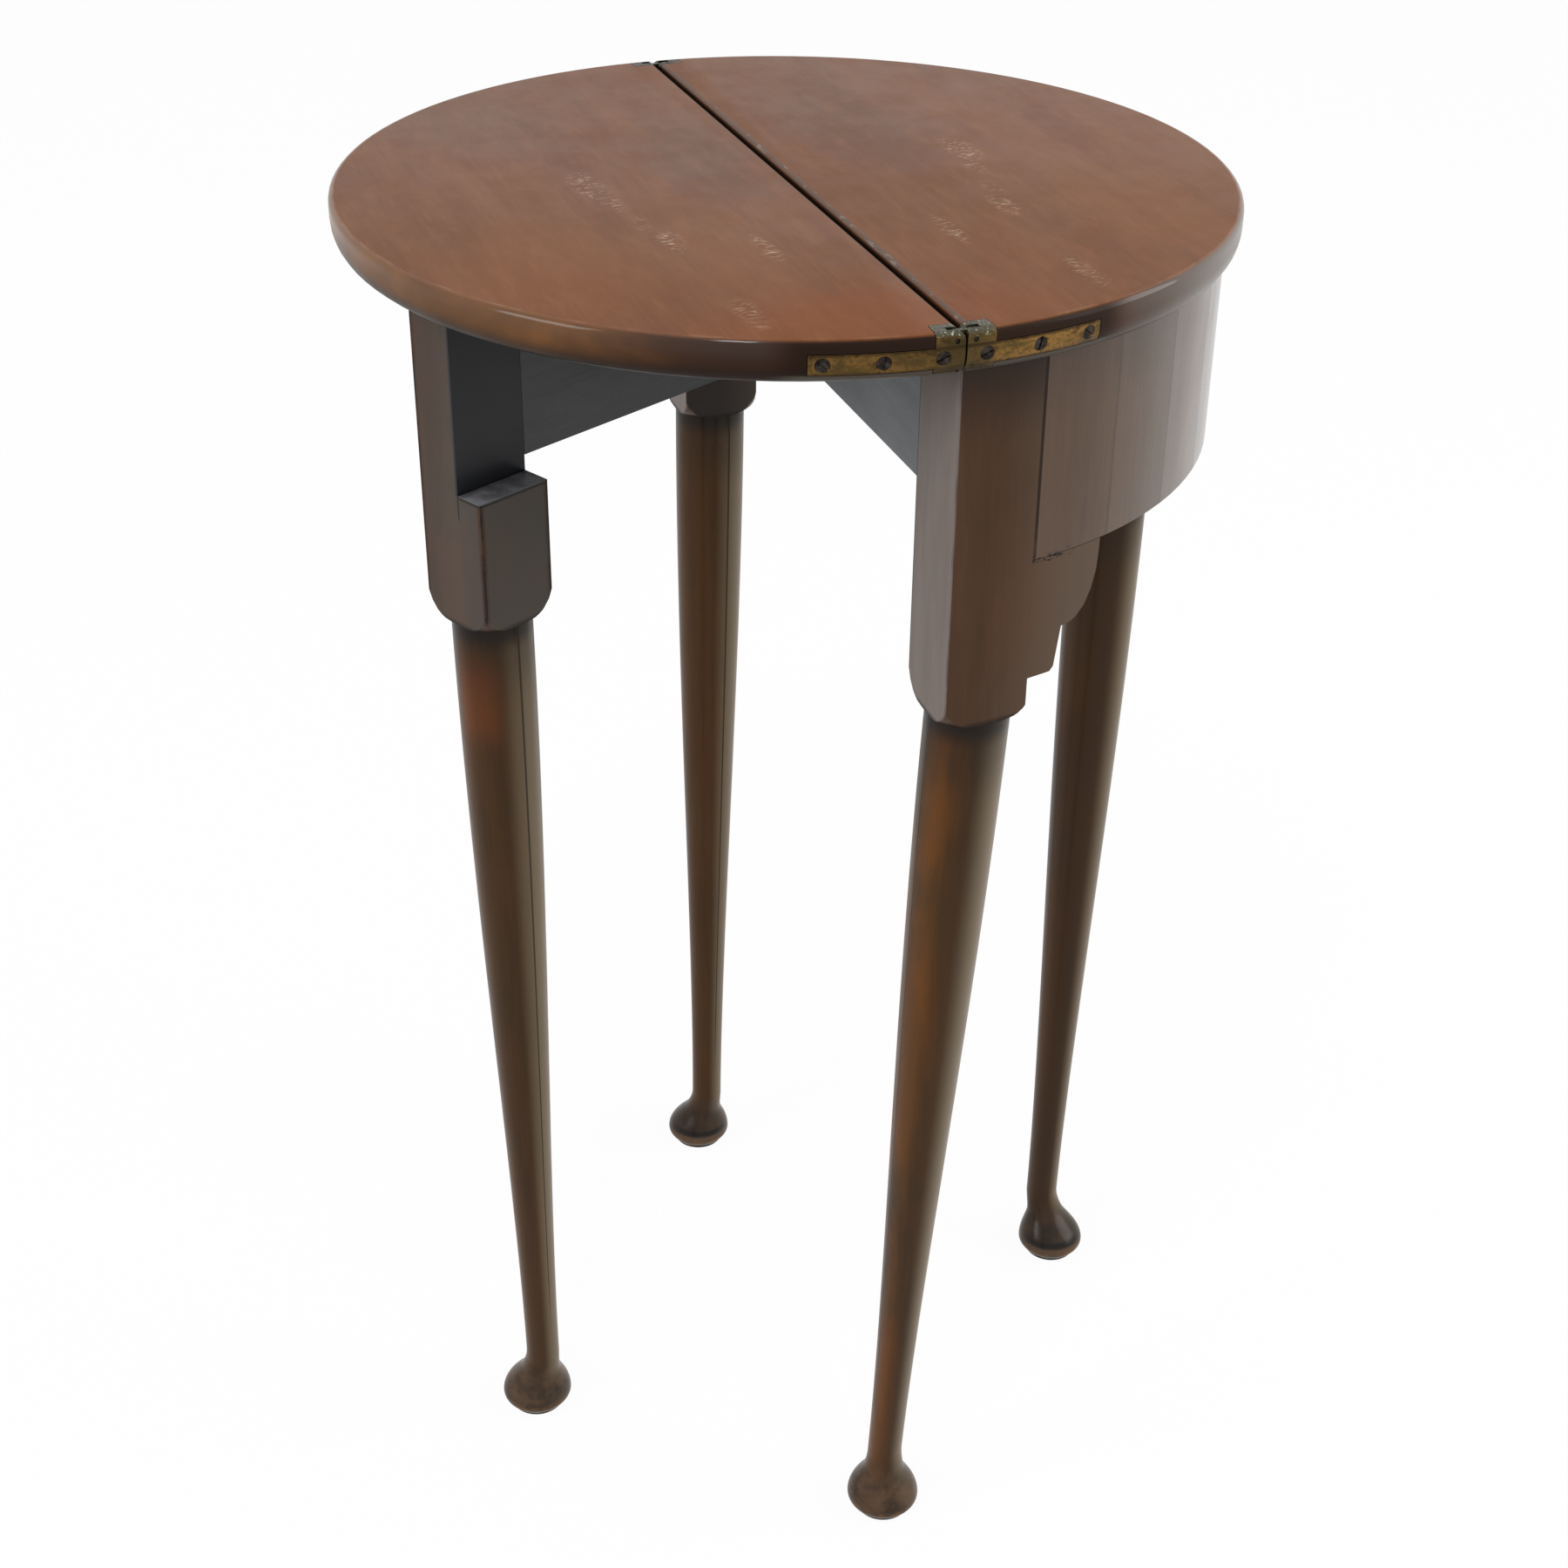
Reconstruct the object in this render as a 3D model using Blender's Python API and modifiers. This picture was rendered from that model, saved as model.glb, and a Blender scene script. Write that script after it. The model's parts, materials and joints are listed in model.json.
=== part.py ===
"""Demilune drinks table with a fold-over flap, link hinges and a swinging gate leg.

Metres, +Z up.  The origin is on the floor under the middle of the round top.  X runs along
the joint between the two leaves, the bow front is on the -Y side and the gate swings to +Y.
"""

import math

import bmesh
import bpy
from mathutils import Matrix, Vector

# Whole table
TABLE_HEIGHT = 0.700
TOP_RADIUS = 0.210
FIT_GAP = 0.0003
CUT_OVERRUN = 0.002
WELD_DISTANCE = 0.00001
TURNING_MERGE = 0.00005

# Leaves
LEAF_THICKNESS = 0.019
LEAF_GAP = 0.003
LEAF_TOP_ROUND = 0.003
LEAF_UNDER_WIDTH = 0.006
LEAF_UNDER_HEIGHT = 0.010
MEETING_ROUND = 0.002

# Frame
LEAF_OVERHANG = 0.007
APRON_THICKNESS = 0.020
APRON_DEPTH = 0.093
STAVES_PER_SIDE = 6
BACK_RAIL_THICKNESS = 0.015
TENON_LENGTH = 0.022
TENON_THICKNESS = 0.008
TENON_SHOULDER = 0.012

# Legs
BLOCK_SIZE = 0.041
BLOCK_DROP = 0.076
POMMEL_HEIGHT = 0.018
POMMEL_RADIUS = 0.0295
SHAFT_TOP_RADIUS = 0.0193
SHAFT_SHOULDER = 0.0004
ANKLE_RADIUS = 0.0092
ANKLE_HEIGHT = 0.040
PAD_RADIUS = 0.0195
PAD_RIM_HEIGHT = 0.008
LEFT_ANKLE_SET_IN = 0.015
LEFT_ANKLE_SET_BACK = 0.018
LEFT_PAD_SET_IN = 0.0135
LEFT_PAD_SET_BACK = 0.019
RIGHT_ANKLE_SET_IN = 0.0205
RIGHT_ANKLE_SET_BACK = 0.012
RIGHT_PAD_SET_IN = 0.016
RIGHT_PAD_SET_BACK = 0.0165
FRONT_ANKLE_SET_IN = 0.0058
FRONT_PAD_SET_IN = 0.0024
FRONT_PAD_SET_OVER = 0.0095
GATE_ANKLE_SET_OVER = 0.007
GATE_PAD_SET_OUT = 0.0018
GATE_PAD_SET_OVER = 0.0024
SHAFT_SWELL_SHARE = 0.9
PAD_SHARES = (
    (1.0, 0.0), (0.87, 0.02), (0.75, 0.10), (0.66, 0.20), (0.60, 0.32), (0.525, 0.52), (0.45, 0.71),
    (0.39, 0.83), (0.325, 0.91), (0.26, 0.97), (0.20, 1.0), (0.16, 0.97), (0.125, 0.90), (0.075, 0.74),
    (0.0625, 0.62), (0.0, 0.56),
)

# Ear brackets under the apron, measured along the curved face from the side of the block
EAR_LENGTH = 0.038
EAR_DROP = 0.058
EAR_ROUND_LENGTH = 0.018
EAR_STEP = 0.0025
EAR_ROUND_TOP = 0.005
EAR_ROUND_DROP = 0.0315
EAR_NIB_TAPER = 0.003
EAR_CORNER = 0.002

# Gate
KNUCKLE_RAIL_LENGTH = 0.094
GATE_LEG_GAP = 0.0125
GATE_REST_ANGLE = math.radians(117.0)
GATE_RAIL_THICKNESS = 0.022
NOTCH_DEPTH = 0.0152
NOTCH_DROP = 0.0076
KNUCKLE_COUNT = 5
KNUCKLE_CLEARANCE = 0.0004
KNUCKLE_PIN_RADIUS = 0.0025
KNUCKLE_PIN_CLEARANCE = 0.0002
KNUCKLE_PIN_INSET = 0.001

# Link hinges let into the edge of the leaves
HINGE_PIN_SPREAD = 0.004
HINGE_PIN_DEPTH = 0.0038
HINGE_FACE = 0.00045
HINGE_BLOCK_WIDTH = 0.012
HINGE_BLOCK_DEPTH = 0.010
HINGE_BLOCK_HEIGHT = 0.017
HINGE_STRAP_LENGTH = 0.063
HINGE_STRAP_HEIGHT = 0.009
HINGE_STRAP_THICKNESS = 0.002
HINGE_STRAP_TOP = 0.006
HINGE_SLOT_OFFSET = 0.0035
HINGE_SLOT_WIDTH = 0.003
LINK_THICKNESS = 0.0024
LINK_RADIUS = 0.003
LINK_PIN_RADIUS = 0.001
LINK_PIN_CLEARANCE = 0.00015
LINK_PIN_INSET = 0.0006

# Wood screws
HINGE_SCREW_HEAD = 0.003
HINGE_SCREW_SINK = 0.0018
HINGE_SCREW_SHANK = 0.0014
HINGE_SCREW_LENGTH = 0.015
HINGE_SCREW_REACHES = (0.0095, 0.0340, 0.0580)
HINGE_SCREW_BELOW_FACE = 0.0004
FRAME_SCREW_HEAD = 0.0042
FRAME_SCREW_SINK = 0.0026
FRAME_SCREW_SHANK = 0.0020
FRAME_SCREW_LENGTH = 0.030
SCREW_CLEARANCE = 0.00025
SCREW_SLOT_WIDTH = 0.0008
SCREW_SLOT_DEPTH = 0.0006
SCREW_TURN_SHARES = (0.12, 0.41, 0.78)

# Blocks that hold the fixed leaf down to the frame
FIXING_BLOCK_SIZE = 0.020
FIXING_BLOCK_LENGTH = 0.045
FIXING_BLOCK_X_SHARE = 0.556
FIXING_BLOCK_ANGLE = math.radians(45.0)
KNUCKLE_SCREW_SHARES = ((0.30, 0.25), (0.30, 0.75), (0.80, 0.50))

# Fineness
LEG_STEPS = 24
SHAFT_RINGS = 12
POMMEL_RINGS = 5
LEAF_STEPS = 120
EDGE_RINGS = 3
UNDER_RINGS = 5
ARC_STEP = math.radians(3.0)
SCREW_STEPS = 12
PIN_STEPS = 16
KNUCKLE_STEPS = 24
NOSE_STEPS = 5

# Sizes that follow from the ones above
LEAF_UNDERSIDE = TABLE_HEIGHT - LEAF_THICKNESS
FRAME_TOP = LEAF_UNDERSIDE - FIT_GAP
APRON_BOTTOM = LEAF_UNDERSIDE - APRON_DEPTH
BLOCK_BOTTOM = APRON_BOTTOM - BLOCK_DROP
APRON_RADIUS = TOP_RADIUS - LEAF_OVERHANG
APRON_INSIDE = APRON_RADIUS - APRON_THICKNESS
HALF_BLOCK = BLOCK_SIZE / 2
BACK_FACE = -LEAF_GAP / 2
SIDE_LEG_X = APRON_RADIUS - HALF_BLOCK
SIDE_LEG_Y = BACK_FACE - HALF_BLOCK
FRONT_LEG_Y = HALF_BLOCK - APRON_RADIUS
LEFT_ANKLE = Vector((LEFT_ANKLE_SET_IN, LEFT_ANKLE_SET_BACK))
LEFT_PAD = Vector((LEFT_PAD_SET_IN, LEFT_PAD_SET_BACK))
RIGHT_ANKLE = Vector((-RIGHT_ANKLE_SET_IN, RIGHT_ANKLE_SET_BACK))
RIGHT_PAD = Vector((-RIGHT_PAD_SET_IN, RIGHT_PAD_SET_BACK))
POMMEL_TOP = BLOCK_BOTTOM + POMMEL_HEIGHT
EAR_TOP = APRON_BOTTOM - FIT_GAP
EAR_BOTTOM = APRON_BOTTOM - EAR_DROP
SIDE_LEG_INNER_X = SIDE_LEG_X - HALF_BLOCK
SIDE_LEG_INNER_Y = SIDE_LEG_Y - HALF_BLOCK
GATE_PIVOT_X = SIDE_LEG_INNER_X - KNUCKLE_RAIL_LENGTH
GATE_LENGTH = GATE_PIVOT_X + SIDE_LEG_INNER_X - GATE_LEG_GAP - HALF_BLOCK
GATE_HALF = GATE_RAIL_THICKNESS / 2
GATE_AXIS_OFFSET = GATE_HALF - (HALF_BLOCK - NOTCH_DEPTH)
GATE_PIVOT_Y = SIDE_LEG_Y + GATE_AXIS_OFFSET
LEDGE_HEIGHT = APRON_BOTTOM - NOTCH_DROP
BACK_RAIL_FACE = GATE_PIVOT_Y - GATE_HALF - FIT_GAP
BACK_RAIL_INSIDE = BACK_RAIL_FACE - BACK_RAIL_THICKNESS
HINGE_PIN_HEIGHT = TABLE_HEIGHT - HINGE_PIN_DEPTH
HINGE_STRAP_MIDDLE = TABLE_HEIGHT - HINGE_STRAP_TOP - HINGE_STRAP_HEIGHT / 2
KNUCKLE_PITCH = (FRAME_TOP - APRON_BOTTOM) / KNUCKLE_COUNT

# Colours
MAHOGANY_TOP = (0.258, 0.108, 0.058)
MAHOGANY_FRAME = (0.102, 0.055, 0.032)
MAHOGANY_LEG = (0.084, 0.040, 0.020)
OAK_INSIDE = (0.048, 0.042, 0.036)
AGED_BRASS = (0.223, 0.122, 0.026)
DARK_STEEL = (0.060, 0.052, 0.045)


def clear_scene():
    """Remove every object, so that the script always starts from nothing."""
    for old in list(bpy.data.objects):
        bpy.data.objects.remove(old, do_unlink=True)


def make_collection(name):
    """Return a new collection linked to the scene."""
    collection = bpy.data.collections.new(name)
    bpy.context.scene.collection.children.link(collection)
    return collection


def make_material(name, colour, roughness, metallic=0.0):
    """Return a Principled material of one colour."""
    material = bpy.data.materials.new(name)
    material.use_nodes = True
    shader = material.node_tree.nodes["Principled BSDF"]
    shader.inputs["Base Color"].default_value = (*colour, 1.0)
    shader.inputs["Roughness"].default_value = roughness
    shader.inputs["Metallic"].default_value = metallic
    return material


clear_scene()
PARTS = make_collection("demilune_table")
CUTTERS = make_collection("demilune_table_cutters")
TOP_WOOD = make_material("mahogany_top", MAHOGANY_TOP, 0.35)
FRAME_WOOD = make_material("mahogany_frame", MAHOGANY_FRAME, 0.5)
LEG_WOOD = make_material("mahogany_legs", MAHOGANY_LEG, 0.4)
INSIDE_WOOD = make_material("oak_inside", OAK_INSIDE, 0.7)
BRASS = make_material("aged_brass", AGED_BRASS, 0.4, 1.0)
STEEL = make_material("dark_steel", DARK_STEEL, 0.5, 1.0)


def smooth_step(share):
    """Ease from 0 to 1 with level ends."""
    return share * share * (3 - 2 * share)


def shares(count):
    """Return count + 1 even shares from 0 to 1."""
    return [index / count for index in range(count + 1)]


def arc_points(centre, radius, start, end, steps):
    """Return the points of an arc in a plane, its two ends included."""
    turns = [start + (end - start) * share for share in shares(steps)]
    return [(centre[0] + radius * math.cos(a), centre[1] + radius * math.sin(a)) for a in turns]


def tidy_mesh(mesh):
    """Weld a mesh's doubled points and face it outwards."""
    form = bmesh.new()
    form.from_mesh(mesh)
    bmesh.ops.remove_doubles(form, verts=form.verts, dist=WELD_DISTANCE)
    bmesh.ops.recalc_face_normals(form, faces=form.faces)
    form.to_mesh(mesh)
    form.free()
    return mesh


def settled(maker):
    """Turn a curve, or an object with modifiers, into a plain mesh and remove it."""
    bpy.context.view_layer.update()
    graph = bpy.context.evaluated_depsgraph_get()
    mesh = bpy.data.meshes.new_from_object(maker.evaluated_get(graph))
    mesh.transform(maker.matrix_world)
    bpy.data.objects.remove(maker, do_unlink=True)
    return tidy_mesh(mesh)


def place(name, mesh, material, parent=None, smooth=True):
    """Add a mesh to the table as a named piece."""
    mesh.materials.clear()
    mesh.materials.append(material)
    if smooth:
        mesh.shade_smooth()
        mesh.set_sharp_from_angle(angle=math.radians(35.0))
    piece = bpy.data.objects.new(name, mesh)
    PARTS.objects.link(piece)
    piece.parent = parent
    return piece


def cutter(name, mesh, parent=None):
    """Add a mesh that only cuts, joins or trims other pieces."""
    guide = bpy.data.objects.new(name, mesh)
    guide.hide_render = True
    guide.display_type = "WIRE"
    guide.parent = parent
    CUTTERS.objects.link(guide)
    return guide


def combine(piece, guide, operation):
    """Add one Boolean step to a piece."""
    step = piece.modifiers.new(guide.name, "BOOLEAN")
    step.operation = operation
    step.solver = "EXACT"
    step.object = guide


def cut(piece, mesh, parent=None):
    """Cut a mesh away from a piece."""
    combine(piece, cutter(mesh.name, mesh, parent), "DIFFERENCE")


def join(piece, mesh, parent=None):
    """Join a mesh to a piece."""
    combine(piece, cutter(mesh.name, mesh, parent), "UNION")


def trim(piece, mesh, parent=None):
    """Keep only what a piece shares with a mesh."""
    combine(piece, cutter(mesh.name, mesh, parent), "INTERSECT")


def hang_on(piece, pivot):
    """Parent a piece to a pivot without moving it."""
    piece.parent = pivot
    piece.matrix_parent_inverse = pivot.matrix_world.inverted()


def make_pivot(name, location, turn=0.0):
    """Add an empty on a joint's axis."""
    pivot = bpy.data.objects.new(name, None)
    pivot.location = location
    pivot.rotation_euler = (0.0, 0.0, turn)
    PARTS.objects.link(pivot)
    bpy.context.view_layer.update()
    return pivot


def box_mesh(name, low, high):
    """Return a box between two corners, given in any order."""
    low_corner = Vector([min(pair) for pair in zip(low, high)])
    high_corner = Vector([max(pair) for pair in zip(low, high)])
    middle = (low_corner + high_corner) / 2
    size = high_corner - low_corner
    form = bmesh.new()
    stand = Matrix.Translation(middle) @ Matrix.Diagonal((*size, 1))
    bmesh.ops.create_cube(form, size=1, matrix=stand)
    mesh = bpy.data.meshes.new(name)
    form.to_mesh(mesh)
    form.free()
    return mesh


def rod_mesh(name, radius, start, end, steps):
    """Return a plain round rod between two points."""
    start, end = Vector(start), Vector(end)
    run = end - start
    turn = run.to_track_quat("Z", "Y").to_matrix().to_4x4()
    stand = Matrix.Translation((start + end) / 2) @ turn
    form = bmesh.new()
    bmesh.ops.create_cone(form, cap_ends=True, segments=steps, radius1=radius, radius2=radius,
                          depth=run.length, matrix=stand)
    mesh = bpy.data.meshes.new(name)
    form.to_mesh(mesh)
    form.free()
    return mesh


def crosswise(x):
    """Return the placing of an outline drawn as Y across and Z up, thick along X."""
    return Matrix(((0, 0, 1, x), (1, 0, 0, 0), (0, 1, 0, 0), (0, 0, 0, 1)))


def plate_mesh(name, outline, thickness, stand=None):
    """Return a flat outline given thickness about its own plane, then stood in place."""
    curve = bpy.data.curves.new(name, "CURVE")
    curve.dimensions = "2D"
    curve.fill_mode = "BOTH"
    curve.extrude = thickness / 2
    spline = curve.splines.new("POLY")
    spline.points.add(len(outline) - 1)
    for point, (across, up) in zip(spline.points, outline):
        point.co = (across, up, 0.0, 1.0)
    spline.use_cyclic_u = True
    maker = bpy.data.objects.new(name, curve)
    CUTTERS.objects.link(maker)
    maker.matrix_world = stand or Matrix.Identity(4)
    return settled(maker)


def turned_mesh(name, profile, steps, closed=False):
    """Return a profile of radii and heights, listed top to bottom, turned about Z."""
    edges = [(index, index + 1) for index in range(len(profile) - 1)]
    if closed:
        edges.append((len(profile) - 1, 0))
    mesh = bpy.data.meshes.new(name)
    mesh.from_pydata([(radius, 0.0, height) for radius, height in profile], edges, [])
    maker = bpy.data.objects.new(name, mesh)
    CUTTERS.objects.link(maker)
    turn = maker.modifiers.new("turn", "SCREW")
    turn.steps = steps
    turn.render_steps = steps
    turn.use_merge_vertices = True
    turn.merge_threshold = TURNING_MERGE
    return settled(maker)


def joined_mesh(name, meshes):
    """Return several closed meshes as one mesh of separate solids."""
    form = bmesh.new()
    for mesh in meshes:
        form.from_mesh(mesh)
    joined = bpy.data.meshes.new(name)
    form.to_mesh(joined)
    form.free()
    return joined


def band_outline(inner, outer, inner_angles, outer_angles):
    """Return the plan of a curved band between two radii, each with its own end angles."""
    steps = max(1, round(abs(outer_angles[1] - outer_angles[0]) / ARC_STEP))
    outside = arc_points((0.0, 0.0), outer, *outer_angles, steps)
    inside = arc_points((0.0, 0.0), inner, *inner_angles, steps)
    return outside + inside[::-1]


def band_mesh(name, inner, outer, inner_angles, outer_angles, low, high):
    """Return a curved band between two heights."""
    outline = band_outline(inner, outer, inner_angles, outer_angles)
    return plate_mesh(name, outline, high - low, Matrix.Translation((0.0, 0.0, (low + high) / 2)))


def reach_angle(reach, radius, side, half):
    """Angle at which a circle lies a distance from the X axis, at one end and on one half."""
    lean = math.asin(reach / radius)
    if side > 0:
        return half * lean
    return math.pi - half * lean


# Screws

def screw_profile(head, sink, shank, length, grow=0.0, rise=0.0):
    """Return half the section of a countersunk screw whose head is at the origin."""
    return [(0.0, rise), (head + grow, rise), (head + grow, 0.0), (shank + grow, -sink),
            (shank + grow, -length), (0.0, -length - shank)]


def screw_mesh(name, head, sink, shank, length, turn_share):
    """Return a slotted countersunk wood screw that points down from the origin."""
    profile = screw_profile(head, sink, shank, length)
    profile.pop(1)
    maker = bpy.data.objects.new(name, turned_mesh(name, profile, SCREW_STEPS))
    CUTTERS.objects.link(maker)
    half_slot = SCREW_SLOT_WIDTH / 2
    reach = head + CUT_OVERRUN
    low = (-reach, -half_slot, -SCREW_SLOT_DEPTH)
    slot = box_mesh(name + "_slot", low, (reach, half_slot, CUT_OVERRUN))
    slot.transform(Matrix.Rotation(math.pi * turn_share, 4, "Z"))
    slot_cutter = cutter(name + "_slot", slot)
    combine(maker, slot_cutter, "DIFFERENCE")
    mesh = settled(maker)
    bpy.data.objects.remove(slot_cutter, do_unlink=True)
    return mesh


def driven(head_at, outward):
    """Return the placing that points a screw's head outwards at a place."""
    turn = Vector(outward).to_track_quat("Z", "Y").to_matrix().to_4x4()
    return Matrix.Translation(head_at) @ turn


def build_screws(name, sizes, stands):
    """Build a numbered screw at each place and return them all."""
    screws = []
    for index, stand in enumerate(stands):
        screw_name = f"{name}_{index + 1}"
        mesh = screw_mesh(screw_name, *sizes, SCREW_TURN_SHARES[index % len(SCREW_TURN_SHARES)])
        mesh.transform(stand)
        screws.append(place(screw_name, mesh, STEEL))
    return screws


def screw_holes(name, sizes, stands):
    """Return the clearance holes for a group of screws, to be cut from what they hold."""
    meshes = []
    for stand in stands:
        mesh = turned_mesh(name, screw_profile(*sizes, SCREW_CLEARANCE, CUT_OVERRUN), SCREW_STEPS)
        mesh.transform(stand)
        meshes.append(mesh)
    return joined_mesh(name, meshes)


HINGE_SCREW_SIZES = (HINGE_SCREW_HEAD, HINGE_SCREW_SINK, HINGE_SCREW_SHANK, HINGE_SCREW_LENGTH)
FRAME_SCREW_SIZES = (FRAME_SCREW_HEAD, FRAME_SCREW_SINK, FRAME_SCREW_SHANK, FRAME_SCREW_LENGTH)


def hinge_screw_stands(side, half):
    """Return where the three screws of one hinge plate go."""
    stands = []
    for reach in HINGE_SCREW_REACHES:
        angle = reach_angle(reach, TOP_RADIUS, side, half)
        outward = (math.cos(angle), math.sin(angle), 0.0)
        radius = TOP_RADIUS - HINGE_SCREW_BELOW_FACE
        stands.append(driven((radius * outward[0], radius * outward[1], HINGE_STRAP_MIDDLE), outward))
    return stands


def fixing_block_places():
    """Return the middle and the turn of each block under the fixed leaf."""
    half = FIXING_BLOCK_SIZE / 2
    places = []
    for side in (-1, 1):
        rail_y = BACK_RAIL_INSIDE - FIT_GAP - half
        places.append((side * SIDE_LEG_INNER_X * FIXING_BLOCK_X_SHARE, rail_y, 0.0))
        flat = math.sqrt(APRON_INSIDE ** 2 - (FIXING_BLOCK_LENGTH / 2) ** 2)
        distance = flat - FIT_GAP - half
        angle = side * FIXING_BLOCK_ANGLE - math.pi / 2
        places.append((distance * math.cos(angle), distance * math.sin(angle), side * FIXING_BLOCK_ANGLE))
    return places


def fixing_screw_stands():
    """Return where the screws up into the fixed leaf go."""
    height = FRAME_TOP - FIXING_BLOCK_SIZE
    return [driven((x, y, height), (0.0, 0.0, -1.0)) for x, y, _ in fixing_block_places()]


def knuckle_screw_stands():
    """Return where the screws that hold the knuckle rail go."""
    face = GATE_PIVOT_Y + GATE_HALF
    length = SIDE_LEG_INNER_X - GATE_PIVOT_X
    height = FRAME_TOP - APRON_BOTTOM
    stands = []
    for along_share, up_share in KNUCKLE_SCREW_SHARES:
        x = GATE_PIVOT_X + length * along_share
        z = APRON_BOTTOM + height * up_share
        stands.append(driven((x, face, z), (0.0, 1.0, 0.0)))
    return stands


# Leaves

def leaf_profile():
    """Return the moulded edge of the round top, from the middle of its face to its underside."""
    profile = [(0.0, TABLE_HEIGHT)]
    top_centre = (TOP_RADIUS - LEAF_TOP_ROUND, TABLE_HEIGHT - LEAF_TOP_ROUND)
    profile += arc_points(top_centre, LEAF_TOP_ROUND, math.pi / 2, 0.0, EDGE_RINGS)
    for share in shares(UNDER_RINGS):
        turn = share * math.pi / 2
        radius = TOP_RADIUS - LEAF_UNDER_WIDTH * (1 - math.cos(turn))
        profile.append((radius, LEAF_UNDERSIDE + LEAF_UNDER_HEIGHT * (1 - math.sin(turn))))
    profile.append((0.0, LEAF_UNDERSIDE))
    return profile


def meeting_round_mesh(name, half):
    """Return the strip that rounds the top edge of a leaf where it meets the other."""
    face = half * LEAF_GAP / 2
    centre = (face + half * MEETING_ROUND, TABLE_HEIGHT - MEETING_ROUND)
    middle_turn = math.pi if half > 0 else 0.0
    arc = arc_points(centre, MEETING_ROUND, middle_turn, math.pi / 2, EDGE_RINGS)
    outer_x = face - half * CUT_OVERRUN
    outer_top = TABLE_HEIGHT + CUT_OVERRUN
    outline = arc + [(centre[0], outer_top), (outer_x, outer_top), (outer_x, arc[0][1])]
    length = 2 * (TOP_RADIUS + CUT_OVERRUN)
    return plate_mesh(name, outline, length, crosswise(0.0))


def hinge_pocket_meshes(name, side, half):
    """Return the recesses for one hinge plate's block and strap in the edge of a leaf."""
    outer = TOP_RADIUS + CUT_OVERRUN
    inner = TOP_RADIUS - HINGE_BLOCK_DEPTH - FIT_GAP
    reach = HINGE_FACE + HINGE_BLOCK_WIDTH + FIT_GAP
    ends = [reach_angle(0.0, inner, side, half), reach_angle(reach, inner, side, half)]
    floor = TABLE_HEIGHT - HINGE_BLOCK_HEIGHT - FIT_GAP
    block = band_mesh(name + "_block", inner, outer, ends, ends, floor, TABLE_HEIGHT + CUT_OVERRUN)
    strap_inner = TOP_RADIUS - HINGE_STRAP_THICKNESS - FIT_GAP
    strap_ends = [reach_angle(0.0, strap_inner, side, half),
                  reach_angle(HINGE_STRAP_LENGTH + FIT_GAP, strap_inner, side, half)]
    top = TABLE_HEIGHT - HINGE_STRAP_TOP + FIT_GAP
    low = top - HINGE_STRAP_HEIGHT - 2 * FIT_GAP
    strap = band_mesh(name + "_strap", strap_inner, outer, strap_ends, strap_ends, low, top)
    return block, strap


def build_leaf(name, half):
    """Build the fixed leaf (half -1) or the flap (half 1)."""
    leaf = place(name, turned_mesh(name, leaf_profile(), LEAF_STEPS), TOP_WOOD)
    reach = TOP_RADIUS + CUT_OVERRUN
    low = (-reach, -half * reach, LEAF_UNDERSIDE - CUT_OVERRUN)
    high = (reach, half * LEAF_GAP / 2, TABLE_HEIGHT + CUT_OVERRUN)
    cut(leaf, box_mesh(name + "_other_half", low, high))
    cut(leaf, meeting_round_mesh(name + "_meeting_edge", half))
    for side, end in ((-1, "left"), (1, "right")):
        for pocket in hinge_pocket_meshes(f"{name}_pocket_{end}", side, half):
            cut(leaf, pocket)
        stands = hinge_screw_stands(side, half)
        cut(leaf, screw_holes(f"{name}_screw_holes_{end}", HINGE_SCREW_SIZES, stands))
    return leaf


# Link hinges

def nose_cutter_mesh(name, side, half):
    """Return the strip that rounds a hinge block's upper corner beside the joint."""
    radius = HINGE_PIN_SPREAD - HINGE_FACE
    centre = (half * HINGE_PIN_SPREAD, TABLE_HEIGHT - radius)
    middle_turn = math.pi if half > 0 else 0.0
    arc = arc_points(centre, radius, middle_turn, math.pi / 2, NOSE_STEPS)
    outer_x = half * HINGE_FACE - half * CUT_OVERRUN
    outer_top = TABLE_HEIGHT + CUT_OVERRUN
    outline = arc + [(centre[0], outer_top), (outer_x, outer_top), (outer_x, arc[0][1])]
    middle = side * (TOP_RADIUS - HINGE_BLOCK_DEPTH / 2)
    return plate_mesh(name, outline, HINGE_BLOCK_DEPTH + 2 * CUT_OVERRUN, crosswise(middle))


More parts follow.
